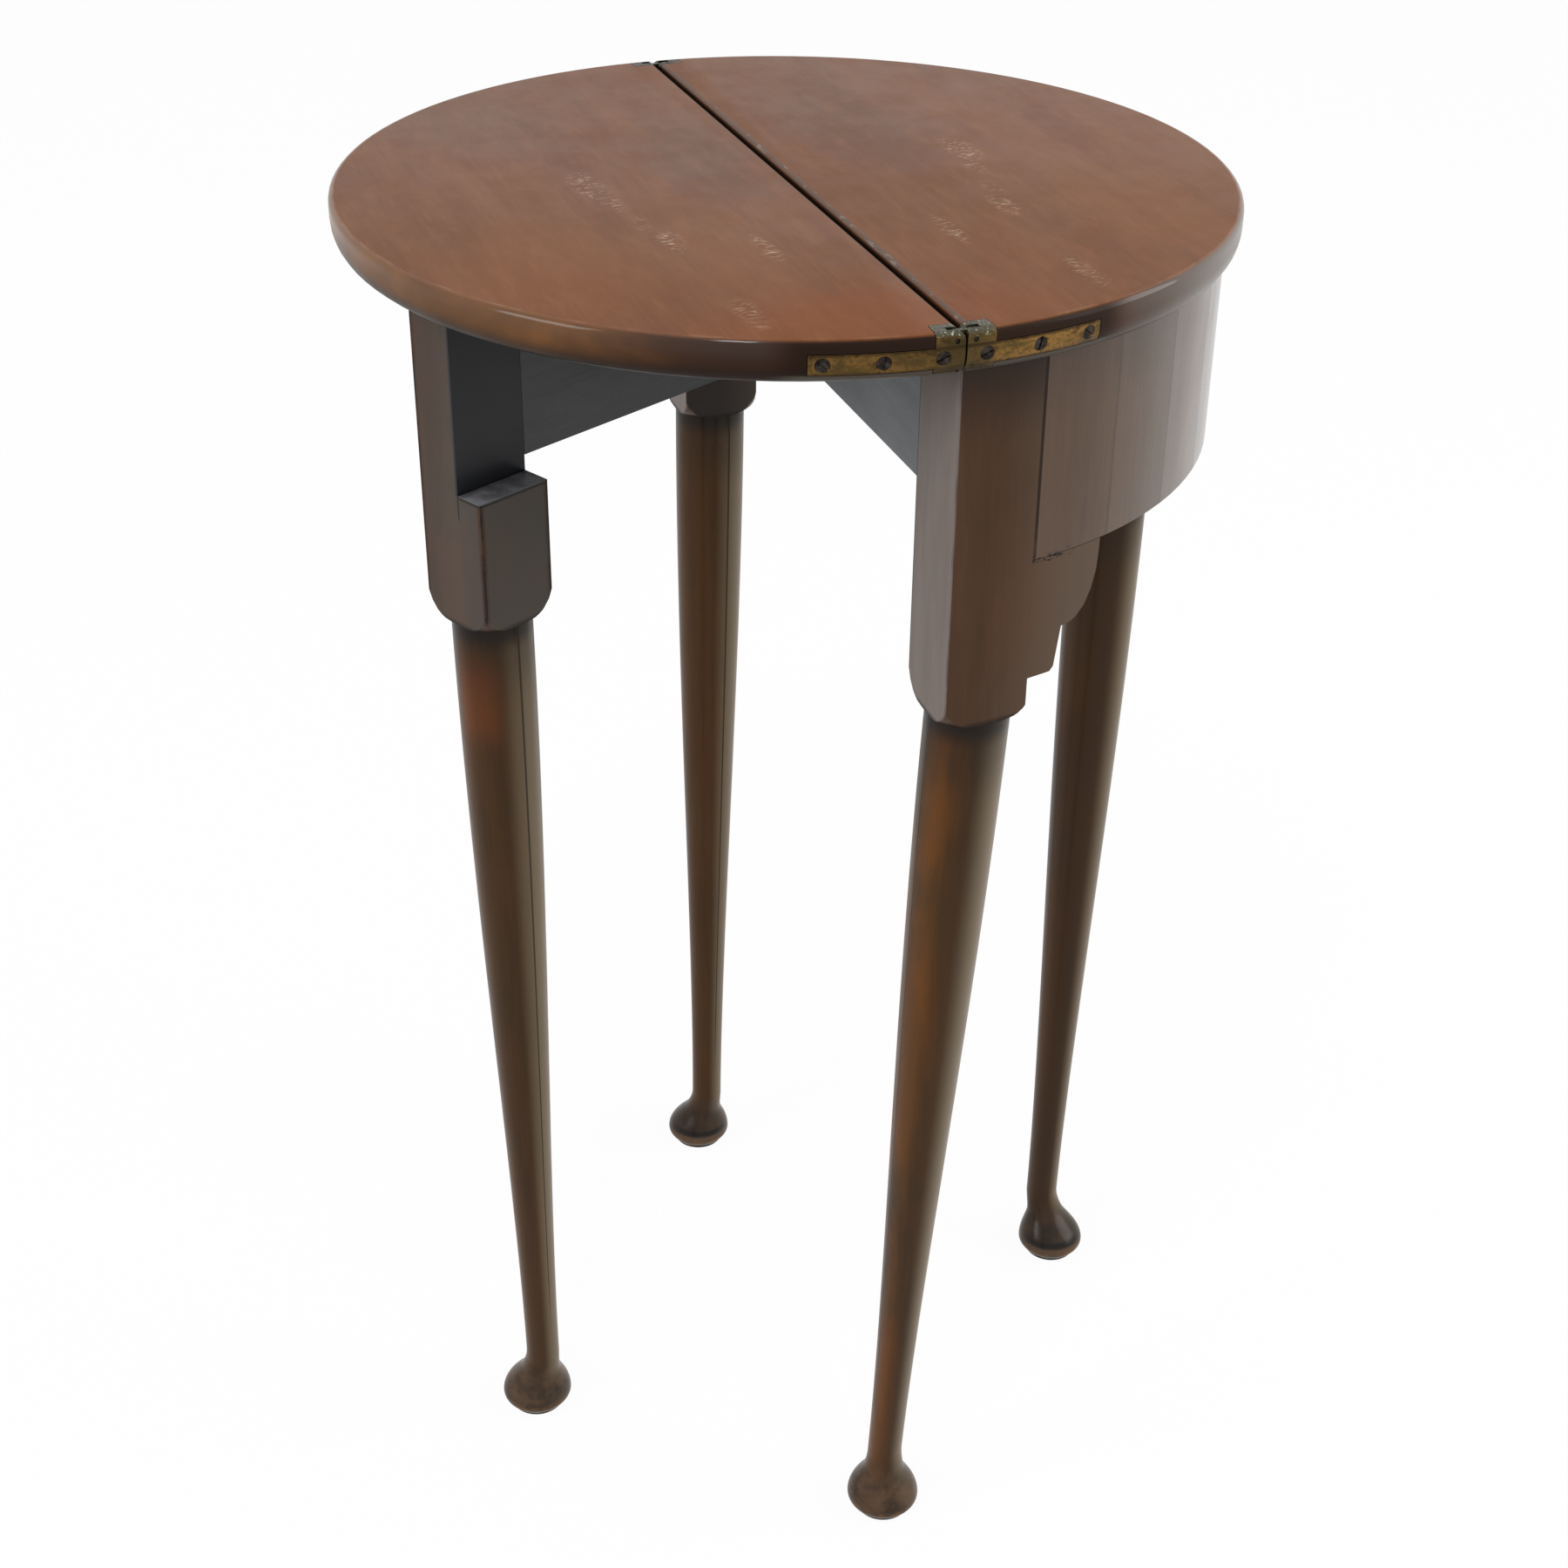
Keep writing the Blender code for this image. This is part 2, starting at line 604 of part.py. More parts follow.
def build_hinge_plate(name, side, half):
    """Build one brass plate: a slotted block at the joint and a strap along the edge.

    Both stand proud at first and are trimmed to the leaf's own moulded edge.
    """
    inner = TOP_RADIUS - HINGE_BLOCK_DEPTH
    outer = TOP_RADIUS + CUT_OVERRUN
    far_end = reach_angle(HINGE_FACE + HINGE_BLOCK_WIDTH, inner, side, half)
    inner_ends = [reach_angle(HINGE_FACE, inner, side, half), far_end]
    outer_ends = [reach_angle(HINGE_FACE, outer, side, half), far_end]
    block = band_mesh(name, inner, outer, inner_ends, outer_ends, TABLE_HEIGHT - HINGE_BLOCK_HEIGHT,
                      TABLE_HEIGHT + CUT_OVERRUN)
    plate = place(name, block, BRASS)
    strap_inner = TOP_RADIUS - HINGE_STRAP_THICKNESS
    block_middle = HINGE_FACE + HINGE_BLOCK_WIDTH / 2
    strap_ends = [reach_angle(block_middle, strap_inner, side, half),
                  reach_angle(HINGE_STRAP_LENGTH, strap_inner, side, half)]
    strap_top = TABLE_HEIGHT - HINGE_STRAP_TOP
    join(plate, band_mesh(name + "_strap", strap_inner, outer, strap_ends, strap_ends,
                          strap_top - HINGE_STRAP_HEIGHT, strap_top))
    trim(plate, turned_mesh(name + "_edge", leaf_profile(), LEAF_STEPS))
    cut(plate, nose_cutter_mesh(name + "_nose", side, half))
    slot_outer = TOP_RADIUS - HINGE_SLOT_OFFSET
    slot_depth = LINK_RADIUS + FIT_GAP
    low = (side * slot_outer, -half * CUT_OVERRUN, HINGE_PIN_HEIGHT - slot_depth)
    high = (side * (slot_outer - HINGE_SLOT_WIDTH), half * (HINGE_PIN_SPREAD + slot_depth),
            TABLE_HEIGHT + CUT_OVERRUN)
    cut(plate, box_mesh(name + "_slot", low, high))
    start = (side * (inner - CUT_OVERRUN), half * HINGE_PIN_SPREAD, HINGE_PIN_HEIGHT)
    end = (side * outer, half * HINGE_PIN_SPREAD, HINGE_PIN_HEIGHT)
    hole_radius = LINK_PIN_RADIUS + LINK_PIN_CLEARANCE
    cut(plate, rod_mesh(name + "_pin_hole", hole_radius, start, end, PIN_STEPS))
    stands = hinge_screw_stands(side, half)
    cut(plate, screw_holes(name + "_screw_holes", HINGE_SCREW_SIZES, stands))
    return plate


def build_link(name, side):
    """Build one brass link that joins the two pins of a hinge."""
    middle = side * (TOP_RADIUS - HINGE_SLOT_OFFSET - HINGE_SLOT_WIDTH / 2)
    quarter = math.pi / 2
    flap_end = (HINGE_PIN_SPREAD, HINGE_PIN_HEIGHT)
    fixed_end = (-HINGE_PIN_SPREAD, HINGE_PIN_HEIGHT)
    outline = arc_points(flap_end, LINK_RADIUS, -quarter, quarter, NOSE_STEPS)
    outline += arc_points(fixed_end, LINK_RADIUS, quarter, 3 * quarter, NOSE_STEPS)
    link = place(name, plate_mesh(name, outline, LINK_THICKNESS, crosswise(middle)), BRASS)
    reach = LINK_THICKNESS
    radius = LINK_PIN_RADIUS + LINK_PIN_CLEARANCE
    holes = []
    for half in (-1, 1):
        start = (middle - reach, half * HINGE_PIN_SPREAD, HINGE_PIN_HEIGHT)
        end = (middle + reach, half * HINGE_PIN_SPREAD, HINGE_PIN_HEIGHT)
        holes.append(rod_mesh(name + "_holes", radius, start, end, PIN_STEPS))
    cut(link, joined_mesh(name + "_holes", holes))
    return link


def build_hinge_pin(name, side, half):
    """Build one steel pin that a link turns on."""
    inner = TOP_RADIUS - HINGE_BLOCK_DEPTH + LINK_PIN_INSET
    start = (side * inner, half * HINGE_PIN_SPREAD, HINGE_PIN_HEIGHT)
    end = (side * (TOP_RADIUS - LINK_PIN_INSET), half * HINGE_PIN_SPREAD, HINGE_PIN_HEIGHT)
    return place(name, rod_mesh(name, LINK_PIN_RADIUS, start, end, PIN_STEPS), STEEL)


# Legs

def shaft_profile():
    """Return the leg's turned radii, from inside the block down to the sole."""
    profile = [(0.0, POMMEL_TOP), (SHAFT_TOP_RADIUS, POMMEL_TOP)]
    for share in shares(SHAFT_RINGS):
        height = BLOCK_BOTTOM + (ANKLE_HEIGHT - BLOCK_BOTTOM) * share
        swell = smooth_step((1 - share) ** SHAFT_SWELL_SHARE)
        profile.append((ANKLE_RADIUS + (SHAFT_TOP_RADIUS - ANKLE_RADIUS) * swell, height))
    for height_share, radius_share in PAD_SHARES[1:]:
        radius = ANKLE_RADIUS + (PAD_RADIUS - ANKLE_RADIUS) * radius_share
        profile.append((radius, ANKLE_HEIGHT * height_share))
    profile.append((0.0, 0.0))
    return profile


def leg_shift(height, ankle, pad):
    """Return how far the leg's middle stands off its axis at a height."""
    if height >= BLOCK_BOTTOM:
        return Vector((0.0, 0.0))
    if height >= ANKLE_HEIGHT:
        return ankle * (BLOCK_BOTTOM - height) / (BLOCK_BOTTOM - ANKLE_HEIGHT)
    share = min(1.0, (ANKLE_HEIGHT - height) / (ANKLE_HEIGHT - PAD_RIM_HEIGHT))
    return ankle + (pad - ankle) * smooth_step(share)


def shaft_mesh(name, axis, ankle, pad):
    """Return the turned shaft and pad foot, its rings set off the block's axis."""
    mesh = turned_mesh(name, shaft_profile(), LEG_STEPS)
    for point in mesh.vertices:
        shift = leg_shift(point.co.z, ankle, pad)
        point.co.x += axis[0] + shift.x
        point.co.y += axis[1] + shift.y
    mesh.shade_smooth()
    mesh.set_sharp_from_angle(angle=math.radians(50.0))
    return mesh


def pommel_ring_mesh(name, axis):
    """Return the ring that turns the square block's lower end to a round shoulder."""
    reach = BLOCK_SIZE
    inner = SHAFT_TOP_RADIUS + SHAFT_SHOULDER
    profile = [(reach, POMMEL_TOP + CUT_OVERRUN), (POMMEL_RADIUS, POMMEL_TOP + CUT_OVERRUN)]
    for share in shares(POMMEL_RINGS):
        turn = share * math.pi / 2
        radius = inner + (POMMEL_RADIUS - inner) * math.cos(turn)
        profile.append((radius, POMMEL_TOP - POMMEL_HEIGHT * math.sin(turn)))
    profile += [(inner, BLOCK_BOTTOM - CUT_OVERRUN), (reach, BLOCK_BOTTOM - CUT_OVERRUN)]
    mesh = turned_mesh(name, profile, LEG_STEPS, closed=True)
    mesh.transform(Matrix.Translation((axis[0], axis[1], 0.0)))
    return mesh


def drum_mesh(name):
    """Return the drum whose side is the curved face of apron, ears and blocks."""
    low = (0.0, 0.0, BLOCK_BOTTOM - BLOCK_SIZE)
    return rod_mesh(name, APRON_RADIUS, low, (0.0, 0.0, TABLE_HEIGHT), LEAF_STEPS)


def ear_outline():
    """Return the shaped lower edge of an ear: length along the apron against height."""
    nib = EAR_LENGTH - EAR_ROUND_LENGTH - EAR_STEP
    centre = (EAR_LENGTH - EAR_ROUND_LENGTH, EAR_TOP - EAR_ROUND_TOP)
    root = -HALF_BLOCK / 2
    outline = [(root, EAR_TOP), (EAR_LENGTH, EAR_TOP)]
    for share in shares(POMMEL_RINGS):
        turn = share * math.pi / 2
        length = centre[0] + EAR_ROUND_LENGTH * math.cos(turn)
        outline.append((length, centre[1] - EAR_ROUND_DROP * math.sin(turn)))
    step_height = centre[1] - EAR_ROUND_DROP
    outline.append((nib, step_height))
    outline.append((nib - EAR_NIB_TAPER, EAR_BOTTOM + EAR_CORNER))
    outline.append((nib - EAR_NIB_TAPER - EAR_CORNER, EAR_BOTTOM))
    outline.append((root, EAR_BOTTOM))
    return outline


def ear_mesh(name, start, sweep):
    """Return an ear bent round the drum, from a block's edge angle in a sweep direction.

    The flat outline is cut across at even steps, then each point's length becomes an angle.
    It stands proud of the drum, which trims it flush with the block.
    """
    thickness = APRON_THICKNESS + CUT_OVERRUN
    middle = APRON_INSIDE + thickness / 2
    mesh = plate_mesh(name, ear_outline(), thickness)
    form = bmesh.new()
    form.from_mesh(mesh)
    step = APRON_RADIUS * ARC_STEP
    for index in range(1, math.ceil(EAR_LENGTH / step)):
        pieces = form.verts[:] + form.edges[:] + form.faces[:]
        bmesh.ops.bisect_plane(form, geom=pieces, dist=WELD_DISTANCE,
                               plane_co=(index * step, 0.0, 0.0), plane_no=(1.0, 0.0, 0.0))
    for point in form.verts:
        length, height, depth = point.co
        angle = start + sweep * length / APRON_RADIUS
        radius = middle + depth
        point.co = (radius * math.cos(angle), radius * math.sin(angle), height)
    bmesh.ops.recalc_face_normals(form, faces=form.faces)
    form.to_mesh(mesh)
    form.free()
    return mesh


def mortise_mesh(name, low, high):
    """Return a mortise that gives a tenon its clearance."""
    room = Vector((FIT_GAP, FIT_GAP, FIT_GAP))
    return box_mesh(name, Vector(low) - room, Vector(high) + room)


def tenon_heights():
    """Return the lower and upper edge of every rail tenon."""
    return APRON_BOTTOM + TENON_SHOULDER, FRAME_TOP - TENON_SHOULDER


def back_rail_tenon(side):
    """Return two corners of the back rail's tenon at one end."""
    low, high = tenon_heights()
    middle = (BACK_RAIL_FACE + BACK_RAIL_INSIDE) / 2
    half = TENON_THICKNESS / 2
    root = side * (SIDE_LEG_INNER_X - 2 * FIT_GAP)
    start, end = sorted((root, side * (SIDE_LEG_INNER_X + TENON_LENGTH)))
    return (start, middle - half, low), (end, middle + half, high)


def build_fixed_leg(name, axis, outward, ankle, pad, ear_starts):
    """Build a leg whose block is curved to the apron, with its ears and turned shaft.

    The block stands proud outwards at first, and the drum trims it with the ears.
    """
    proud = Vector(outward) * CUT_OVERRUN / 2
    middle = Vector(axis) + proud
    reach = Vector((HALF_BLOCK + abs(proud.x), HALF_BLOCK + abs(proud.y)))
    low, high = middle - reach, middle + reach
    leg = place(name, box_mesh(name, (*low, BLOCK_BOTTOM), (*high, FRAME_TOP)), LEG_WOOD)
    cut(leg, pommel_ring_mesh(name + "_pommel", axis))
    for index, (start, sweep) in enumerate(ear_starts):
        join(leg, ear_mesh(f"{name}_ear_{index + 1}", start, sweep))
    trim(leg, drum_mesh(name + "_drum"))
    join(leg, shaft_mesh(name + "_shaft", axis, ankle, pad))
    return leg


def build_side_leg(name, side, ankle, pad):
    """Build the leg at the left (-1) or right (1) end of the bow front."""
    axis = (side * SIDE_LEG_X, SIDE_LEG_Y)
    edge = math.asin(-SIDE_LEG_INNER_Y / APRON_RADIUS)
    start = math.pi + edge if side < 0 else -edge
    leg = build_fixed_leg(name, axis, (side, 0.0), ankle, pad, [(start, -side)])
    cut(leg, mortise_mesh(name + "_mortise", *back_rail_tenon(side)))
    return leg


def build_front_leg(name):
    """Build the leg in the middle of the bow front, with an ear on each side."""
    edge = math.asin(HALF_BLOCK / APRON_RADIUS)
    down = -math.pi / 2
    ankle = Vector((0.0, FRONT_ANKLE_SET_IN))
    pad = Vector((-FRONT_PAD_SET_OVER, FRONT_PAD_SET_IN))
    ear_starts = [(down - edge, -1), (down + edge, 1)]
    return build_fixed_leg(name, (0.0, FRONT_LEG_Y), (0.0, -1.0), ankle, pad, ear_starts)


# Frame

def stave_ends(side):
    """Return the outer and inner angles of the bow's two ends on one side."""
    ends = []
    for radius in (APRON_RADIUS, APRON_INSIDE):
        at_side = math.asin((FIT_GAP - SIDE_LEG_INNER_Y) / radius)
        at_front = math.asin((HALF_BLOCK + FIT_GAP) / radius)
        if side < 0:
            ends.append((math.pi + at_side, 3 * math.pi / 2 - at_front))
        else:
            ends.append((-at_side, at_front - math.pi / 2))
    return ends


def build_stave(name, side, index):
    """Build one upright stave of the bow apron, counted from the side leg."""
    outer_ends, inner_ends = stave_ends(side)
    pitch = (outer_ends[1] - outer_ends[0]) / STAVES_PER_SIDE
    gap = math.copysign(FIT_GAP / 2 / APRON_INSIDE, pitch)
    start = outer_ends[0] + index * pitch
    outer = [start + gap, start + pitch - gap]
    inner = list(outer)
    if index == 0:
        outer[0], inner[0] = outer_ends[0], inner_ends[0]
    if index == STAVES_PER_SIDE - 1:
        outer[1], inner[1] = outer_ends[1], inner_ends[1]
    mesh = band_mesh(name, APRON_INSIDE, APRON_RADIUS, inner, outer, APRON_BOTTOM, FRAME_TOP)
    return place(name, mesh, FRAME_WOOD)


def build_back_rail(name):
    """Build the straight inner rail, tenoned into both side legs."""
    reach = SIDE_LEG_INNER_X - FIT_GAP
    low = (-reach, BACK_RAIL_INSIDE, APRON_BOTTOM)
    high = (reach, BACK_RAIL_FACE, FRAME_TOP)
    rail = place(name, box_mesh(name, low, high), INSIDE_WOOD, smooth=False)
    for side, end in ((-1, "left"), (1, "right")):
        join(rail, box_mesh(f"{name}_tenon_{end}", *back_rail_tenon(side)))
    cut(rail, screw_holes(name + "_screw_holes", FRAME_SCREW_SIZES, knuckle_screw_stands()))
    return rail


def knuckle_slots_mesh(name, first):
    """Return the gaps between one rail's knuckles, in the rail's own frame along +X."""
    reach = GATE_HALF + KNUCKLE_CLEARANCE
    across = GATE_HALF + CUT_OVERRUN
    meshes = []
    for index in range(first, KNUCKLE_COUNT, 2):
        low = APRON_BOTTOM + index * KNUCKLE_PITCH - FIT_GAP / 2
        high = low + KNUCKLE_PITCH + FIT_GAP
        if index == 0:
            low -= CUT_OVERRUN
        if index == KNUCKLE_COUNT - 1:
            high += CUT_OVERRUN
        meshes.append(box_mesh(name, (-reach - CUT_OVERRUN, -across, low), (reach, across, high)))
    return joined_mesh(name, meshes)


def rail_with_knuckles(name, length, first_slot, material, parent):
    """Build a rail along +X from a round knuckle end at its pivot."""
    quarter = math.pi / 2
    outline = arc_points((0.0, 0.0), GATE_HALF, quarter, 3 * quarter, LEG_STEPS // 2)
    outline += [(length, -GATE_HALF), (length, GATE_HALF)]
    stand = Matrix.Translation((0.0, 0.0, (APRON_BOTTOM + FRAME_TOP) / 2))
    mesh = plate_mesh(name, outline, FRAME_TOP - APRON_BOTTOM, stand)
    rail = place(name, mesh, material, parent)
    cut(rail, knuckle_slots_mesh(name + "_slots", first_slot), parent)
    low = (0.0, 0.0, APRON_BOTTOM - CUT_OVERRUN)
    high = (0.0, 0.0, FRAME_TOP + CUT_OVERRUN)
    bore_radius = KNUCKLE_PIN_RADIUS + KNUCKLE_PIN_CLEARANCE
    cut(rail, rod_mesh(name + "_bore", bore_radius, low, high, KNUCKLE_STEPS), parent)
    return rail


def build_knuckle_rail(name, pivot):
    """Build the fixed half of the knuckle joint, screwed to the back rail."""
    length = SIDE_LEG_INNER_X - GATE_PIVOT_X - FIT_GAP
    rail = rail_with_knuckles(name, length, 1, INSIDE_WOOD, pivot)
    cut(rail, screw_holes(name + "_screw_holes", FRAME_SCREW_SIZES, knuckle_screw_stands()))
    return rail


def gate_tenon():
    """Return two corners of the gate rail's tenon, in the gate's own frame."""
    low, high = tenon_heights()
    half = TENON_THICKNESS / 2
    start = GATE_LENGTH - HALF_BLOCK
    return (start - 2 * FIT_GAP, -half, low), (start + TENON_LENGTH, half, high)


def build_gate_rail(name, pivot):
    """Build the swinging half of the knuckle joint, tenoned into the gate leg."""
    length = GATE_LENGTH - HALF_BLOCK - FIT_GAP
    rail = rail_with_knuckles(name, length, 0, INSIDE_WOOD, pivot)
    join(rail, box_mesh(name + "_tenon", *gate_tenon()), pivot)
    return rail


def build_gate_leg(name, pivot):
    """Build the gate leg, its block notched to pass under the back rail."""
    axis = (GATE_LENGTH, GATE_AXIS_OFFSET)
    low = (axis[0] - HALF_BLOCK, axis[1] - HALF_BLOCK, BLOCK_BOTTOM)
    high = (axis[0] + HALF_BLOCK, axis[1] + HALF_BLOCK, FRAME_TOP)
    leg = place(name, box_mesh(name, low, high), LEG_WOOD, pivot)
    reach = HALF_BLOCK + CUT_OVERRUN
    notch_low = (axis[0] - reach, GATE_HALF, LEDGE_HEIGHT)
    notch_high = (axis[0] + reach, axis[1] + reach, FRAME_TOP + CUT_OVERRUN)
    cut(leg, box_mesh(name + "_notch", notch_low, notch_high), pivot)
    cut(leg, pommel_ring_mesh(name + "_pommel", axis), pivot)
    ankle = Vector((0.0, GATE_ANKLE_SET_OVER))
    pad = Vector((GATE_PAD_SET_OUT, GATE_PAD_SET_OVER))
    join(leg, shaft_mesh(name + "_shaft", axis, ankle, pad), pivot)
    cut(leg, mortise_mesh(name + "_mortise", *gate_tenon()), pivot)
    return leg


def build_knuckle_pin(name):
    """Build the steel rod that the gate turns on."""
    low = (GATE_PIVOT_X, GATE_PIVOT_Y, APRON_BOTTOM + KNUCKLE_PIN_INSET)
    high = (GATE_PIVOT_X, GATE_PIVOT_Y, FRAME_TOP - KNUCKLE_PIN_INSET)
    return place(name, rod_mesh(name, KNUCKLE_PIN_RADIUS, low, high, KNUCKLE_STEPS), STEEL)


def build_fixing_blocks():
    """Build the four blocks in the angle between frame and leaf, and their screws."""
    half = FIXING_BLOCK_SIZE / 2
    half_length = FIXING_BLOCK_LENGTH / 2
    low = (-half_length, -half, FRAME_TOP - FIXING_BLOCK_SIZE)
    high = (half_length, half, FRAME_TOP)
    names = ("rail_left", "bow_left", "rail_right", "bow_right")
    stands = fixing_screw_stands()
    for spot, (x, y, turn), stand in zip(names, fixing_block_places(), stands):
        name = "fixing_block_" + spot
        mesh = box_mesh(name, low, high)
        mesh.transform(Matrix.Translation((x, y, 0.0)) @ Matrix.Rotation(turn, 4, "Z"))
        block = place(name, mesh, INSIDE_WOOD, smooth=False)
        cut(block, screw_holes(name + "_hole", FRAME_SCREW_SIZES, [stand]))
    build_screws("fixing_screw", FRAME_SCREW_SIZES, stands)


def build_top():
    """Build both leaves and their two link hinges."""
    fixed = build_leaf("fixed_leaf", -1)
    cut(fixed, screw_holes("fixed_leaf_fixing_holes", FRAME_SCREW_SIZES, fixing_screw_stands()))
    link_pivot = make_pivot("link_pivot", (0.0, -HINGE_PIN_SPREAD, HINGE_PIN_HEIGHT))
    flap_pivot = make_pivot("flap_pivot", (0.0, HINGE_PIN_SPREAD, HINGE_PIN_HEIGHT))
    moving = [build_leaf("flap_leaf", 1)]
    for side, end in ((-1, "left"), (1, "right")):
        build_hinge_plate("hinge_plate_fixed_" + end, side, -1)
        build_hinge_pin("hinge_pin_fixed_" + end, side, -1)
        build_screws("hinge_screw_fixed_" + end, HINGE_SCREW_SIZES, hinge_screw_stands(side, -1))
        moving.append(build_hinge_plate("hinge_plate_flap_" + end, side, 1))
        moving.append(build_hinge_pin("hinge_pin_flap_" + end, side, 1))
        moving += build_screws("hinge_screw_flap_" + end, HINGE_SCREW_SIZES, hinge_screw_stands(side, 1))
        hang_on(build_link("hinge_link_" + end, side), link_pivot)
    for piece in moving:
        hang_on(piece, flap_pivot)


def build_frame():
    """Build the fixed legs, the bow apron and the rails behind it."""
    build_side_leg("leg_left", -1, LEFT_ANKLE, LEFT_PAD)
    build_side_leg("leg_right", 1, RIGHT_ANKLE, RIGHT_PAD)
    build_front_leg("leg_front")
    for side, end in ((-1, "left"), (1, "right")):
        for index in range(STAVES_PER_SIDE):
            build_stave(f"bow_stave_{end}_{index + 1}", side, index)
    build_back_rail("back_rail")
    knuckle_stand = make_pivot("knuckle_stand", (GATE_PIVOT_X, GATE_PIVOT_Y, 0.0))
    build_knuckle_rail("knuckle_rail", knuckle_stand)
    build_knuckle_pin("knuckle_pin")
    build_screws("knuckle_rail_screw", FRAME_SCREW_SIZES, knuckle_screw_stands())
    build_fixing_blocks()


def build_gate():
    """Build the gate, turned out to where it stands under the open flap."""
    gate_pivot = make_pivot("gate_pivot", (GATE_PIVOT_X, GATE_PIVOT_Y, 0.0), GATE_REST_ANGLE)
    build_gate_rail("gate_rail", gate_pivot)
    build_gate_leg("gate_leg", gate_pivot)


build_top()
build_frame()
build_gate()
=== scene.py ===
"""Looks of the demilune drinks table: old mahogany on turned legs, with brass link hinges.

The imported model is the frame.  Its wooden nodes are welded and shaded smooth as copies, the
turned shafts and pad feet are worked out afresh as fine surfaces, and every piece gets a
procedural finish on Object coordinates or on its own UV map.  All sizes are in metres, but
for the names that end in _mm.
"""

import json
import logging
import math
from dataclasses import dataclass, field, replace
from enum import Enum
from functools import reduce
from operator import mul
from typing import Any

import bpy
import numpy as np
from mathutils import Matrix, Vector


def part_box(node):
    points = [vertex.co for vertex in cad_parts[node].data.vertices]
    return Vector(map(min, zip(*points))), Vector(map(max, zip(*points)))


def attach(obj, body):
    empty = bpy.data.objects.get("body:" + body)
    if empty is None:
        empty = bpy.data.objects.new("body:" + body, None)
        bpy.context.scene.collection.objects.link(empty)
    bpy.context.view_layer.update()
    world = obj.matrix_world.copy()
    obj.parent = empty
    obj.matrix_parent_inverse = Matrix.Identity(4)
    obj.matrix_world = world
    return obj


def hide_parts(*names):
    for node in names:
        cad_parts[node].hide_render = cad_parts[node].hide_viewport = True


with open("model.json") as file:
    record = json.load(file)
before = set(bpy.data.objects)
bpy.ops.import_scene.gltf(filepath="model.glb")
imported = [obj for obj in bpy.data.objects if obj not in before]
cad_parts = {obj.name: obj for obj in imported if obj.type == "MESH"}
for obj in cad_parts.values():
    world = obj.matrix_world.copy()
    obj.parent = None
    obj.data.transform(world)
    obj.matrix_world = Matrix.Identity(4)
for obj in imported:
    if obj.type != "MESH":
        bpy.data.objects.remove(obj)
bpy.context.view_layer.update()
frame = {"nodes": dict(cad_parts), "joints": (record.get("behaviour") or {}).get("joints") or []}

LOG = logging.getLogger("demilune")

MILLIMETRE = 0.001
WELD = 0.000002
SHARP_ANGLE = math.radians(32.0)
SHAFT_SHARP_ANGLE = math.radians(50.0)

# The colour sockets of a Mix node, by number, because its value sockets have the same names.
MIX_SHARE, MIX_BELOW, MIX_ABOVE, MIX_RESULT = 0, 6, 7, 2


def node_corner(node: str, which: int) -> list[float]:
    """Returns a node's lowest (0) or highest (1) corner at rest, to a thousandth of a mm."""
    return [round(float(size), 6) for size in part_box(node)[which]]


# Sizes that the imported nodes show.
TABLE_HEIGHT = node_corner("fixed_leaf", 1)[2]
LEAF_UNDERSIDE = node_corner("fixed_leaf", 0)[2]
TOP_RADIUS = -node_corner("fixed_leaf", 0)[1]
BACK_FACE = node_corner("fixed_leaf", 1)[1]
APRON_RADIUS = -node_corner("leg_front", 0)[1]
APRON_BOTTOM = node_corner("bow_stave_left_1", 0)[2]

# Sizes inside the leg nodes: the square block, and the notch by which the gate leg's block
# closes under the back rail.  The notch's upright face is measured across the gate's rail from
# the block's middle, and its ledge is a level cut.
BLOCK_BOTTOM = 0.512
HALF_BLOCK = 0.0205
NOTCH_FACE = 0.0053
LEDGE_HEIGHT = 0.5804

# Of a leg node's faces, those that reach over this height belong to its block.
BLOCK_FACES = BLOCK_BOTTOM + 0.1 * MILLIMETRE

# The gate's rail at rest, from its pivot, and the gate leg along and across that rail.
GATE_ANGLE = math.radians(117.0)
GATE_PIVOT = next(tuple(joint["pos_m"][:2]) for joint in frame["joints"]
                  if joint["name"] == "gate_swing")
GATE_LEG = (0.197, 0.0057)
GATE_ALONG = np.array([math.cos(GATE_ANGLE), math.sin(GATE_ANGLE)])
GATE_ACROSS = np.array([-math.sin(GATE_ANGLE), math.cos(GATE_ANGLE)])
GATE_AXIS = tuple(GATE_PIVOT + GATE_LEG[0] * GATE_ALONG + GATE_LEG[1] * GATE_ACROSS)

# Where the leaves' moulded edge begins, where its rolled upper arris lies, and how far from
# the joint the hinges' brass straps reach.
EDGE_REACH = TOP_RADIUS - 3.0 * MILLIMETRE
ARRIS_HEIGHT = TABLE_HEIGHT - 1.5 * MILLIMETRE
STRAP_END = 0.064


class Grain(Enum):
    """The way the wood's fibres run, as the axis they follow."""

    LEVEL = 0
    UPRIGHT = 2


class Side(Enum):
    """The four legs, by the place where each stands."""

    LEFT = "left"
    RIGHT = "right"
    FRONT = "front"
    GATE = "gate"


def linear(colour: str) -> tuple[float, float, float, float]:
    """Turns a written sRGB colour into the linear colour that a shader takes.

    Args:
        colour: Six hex digits, with or without a leading #.

    Returns:
        Linear red, green and blue, and full opacity.
    """
    digits = colour.lstrip("#")
    shares = np.array([int(digits[place:place + 2], 16) for place in (0, 2, 4)]) / 255.0
    low = shares / 12.92
    high = ((shares + 0.055) / 1.055) ** 2.4
    red, green, blue = np.where(shares <= 0.04045, low, high)
    return float(red), float(green), float(blue), 1.0


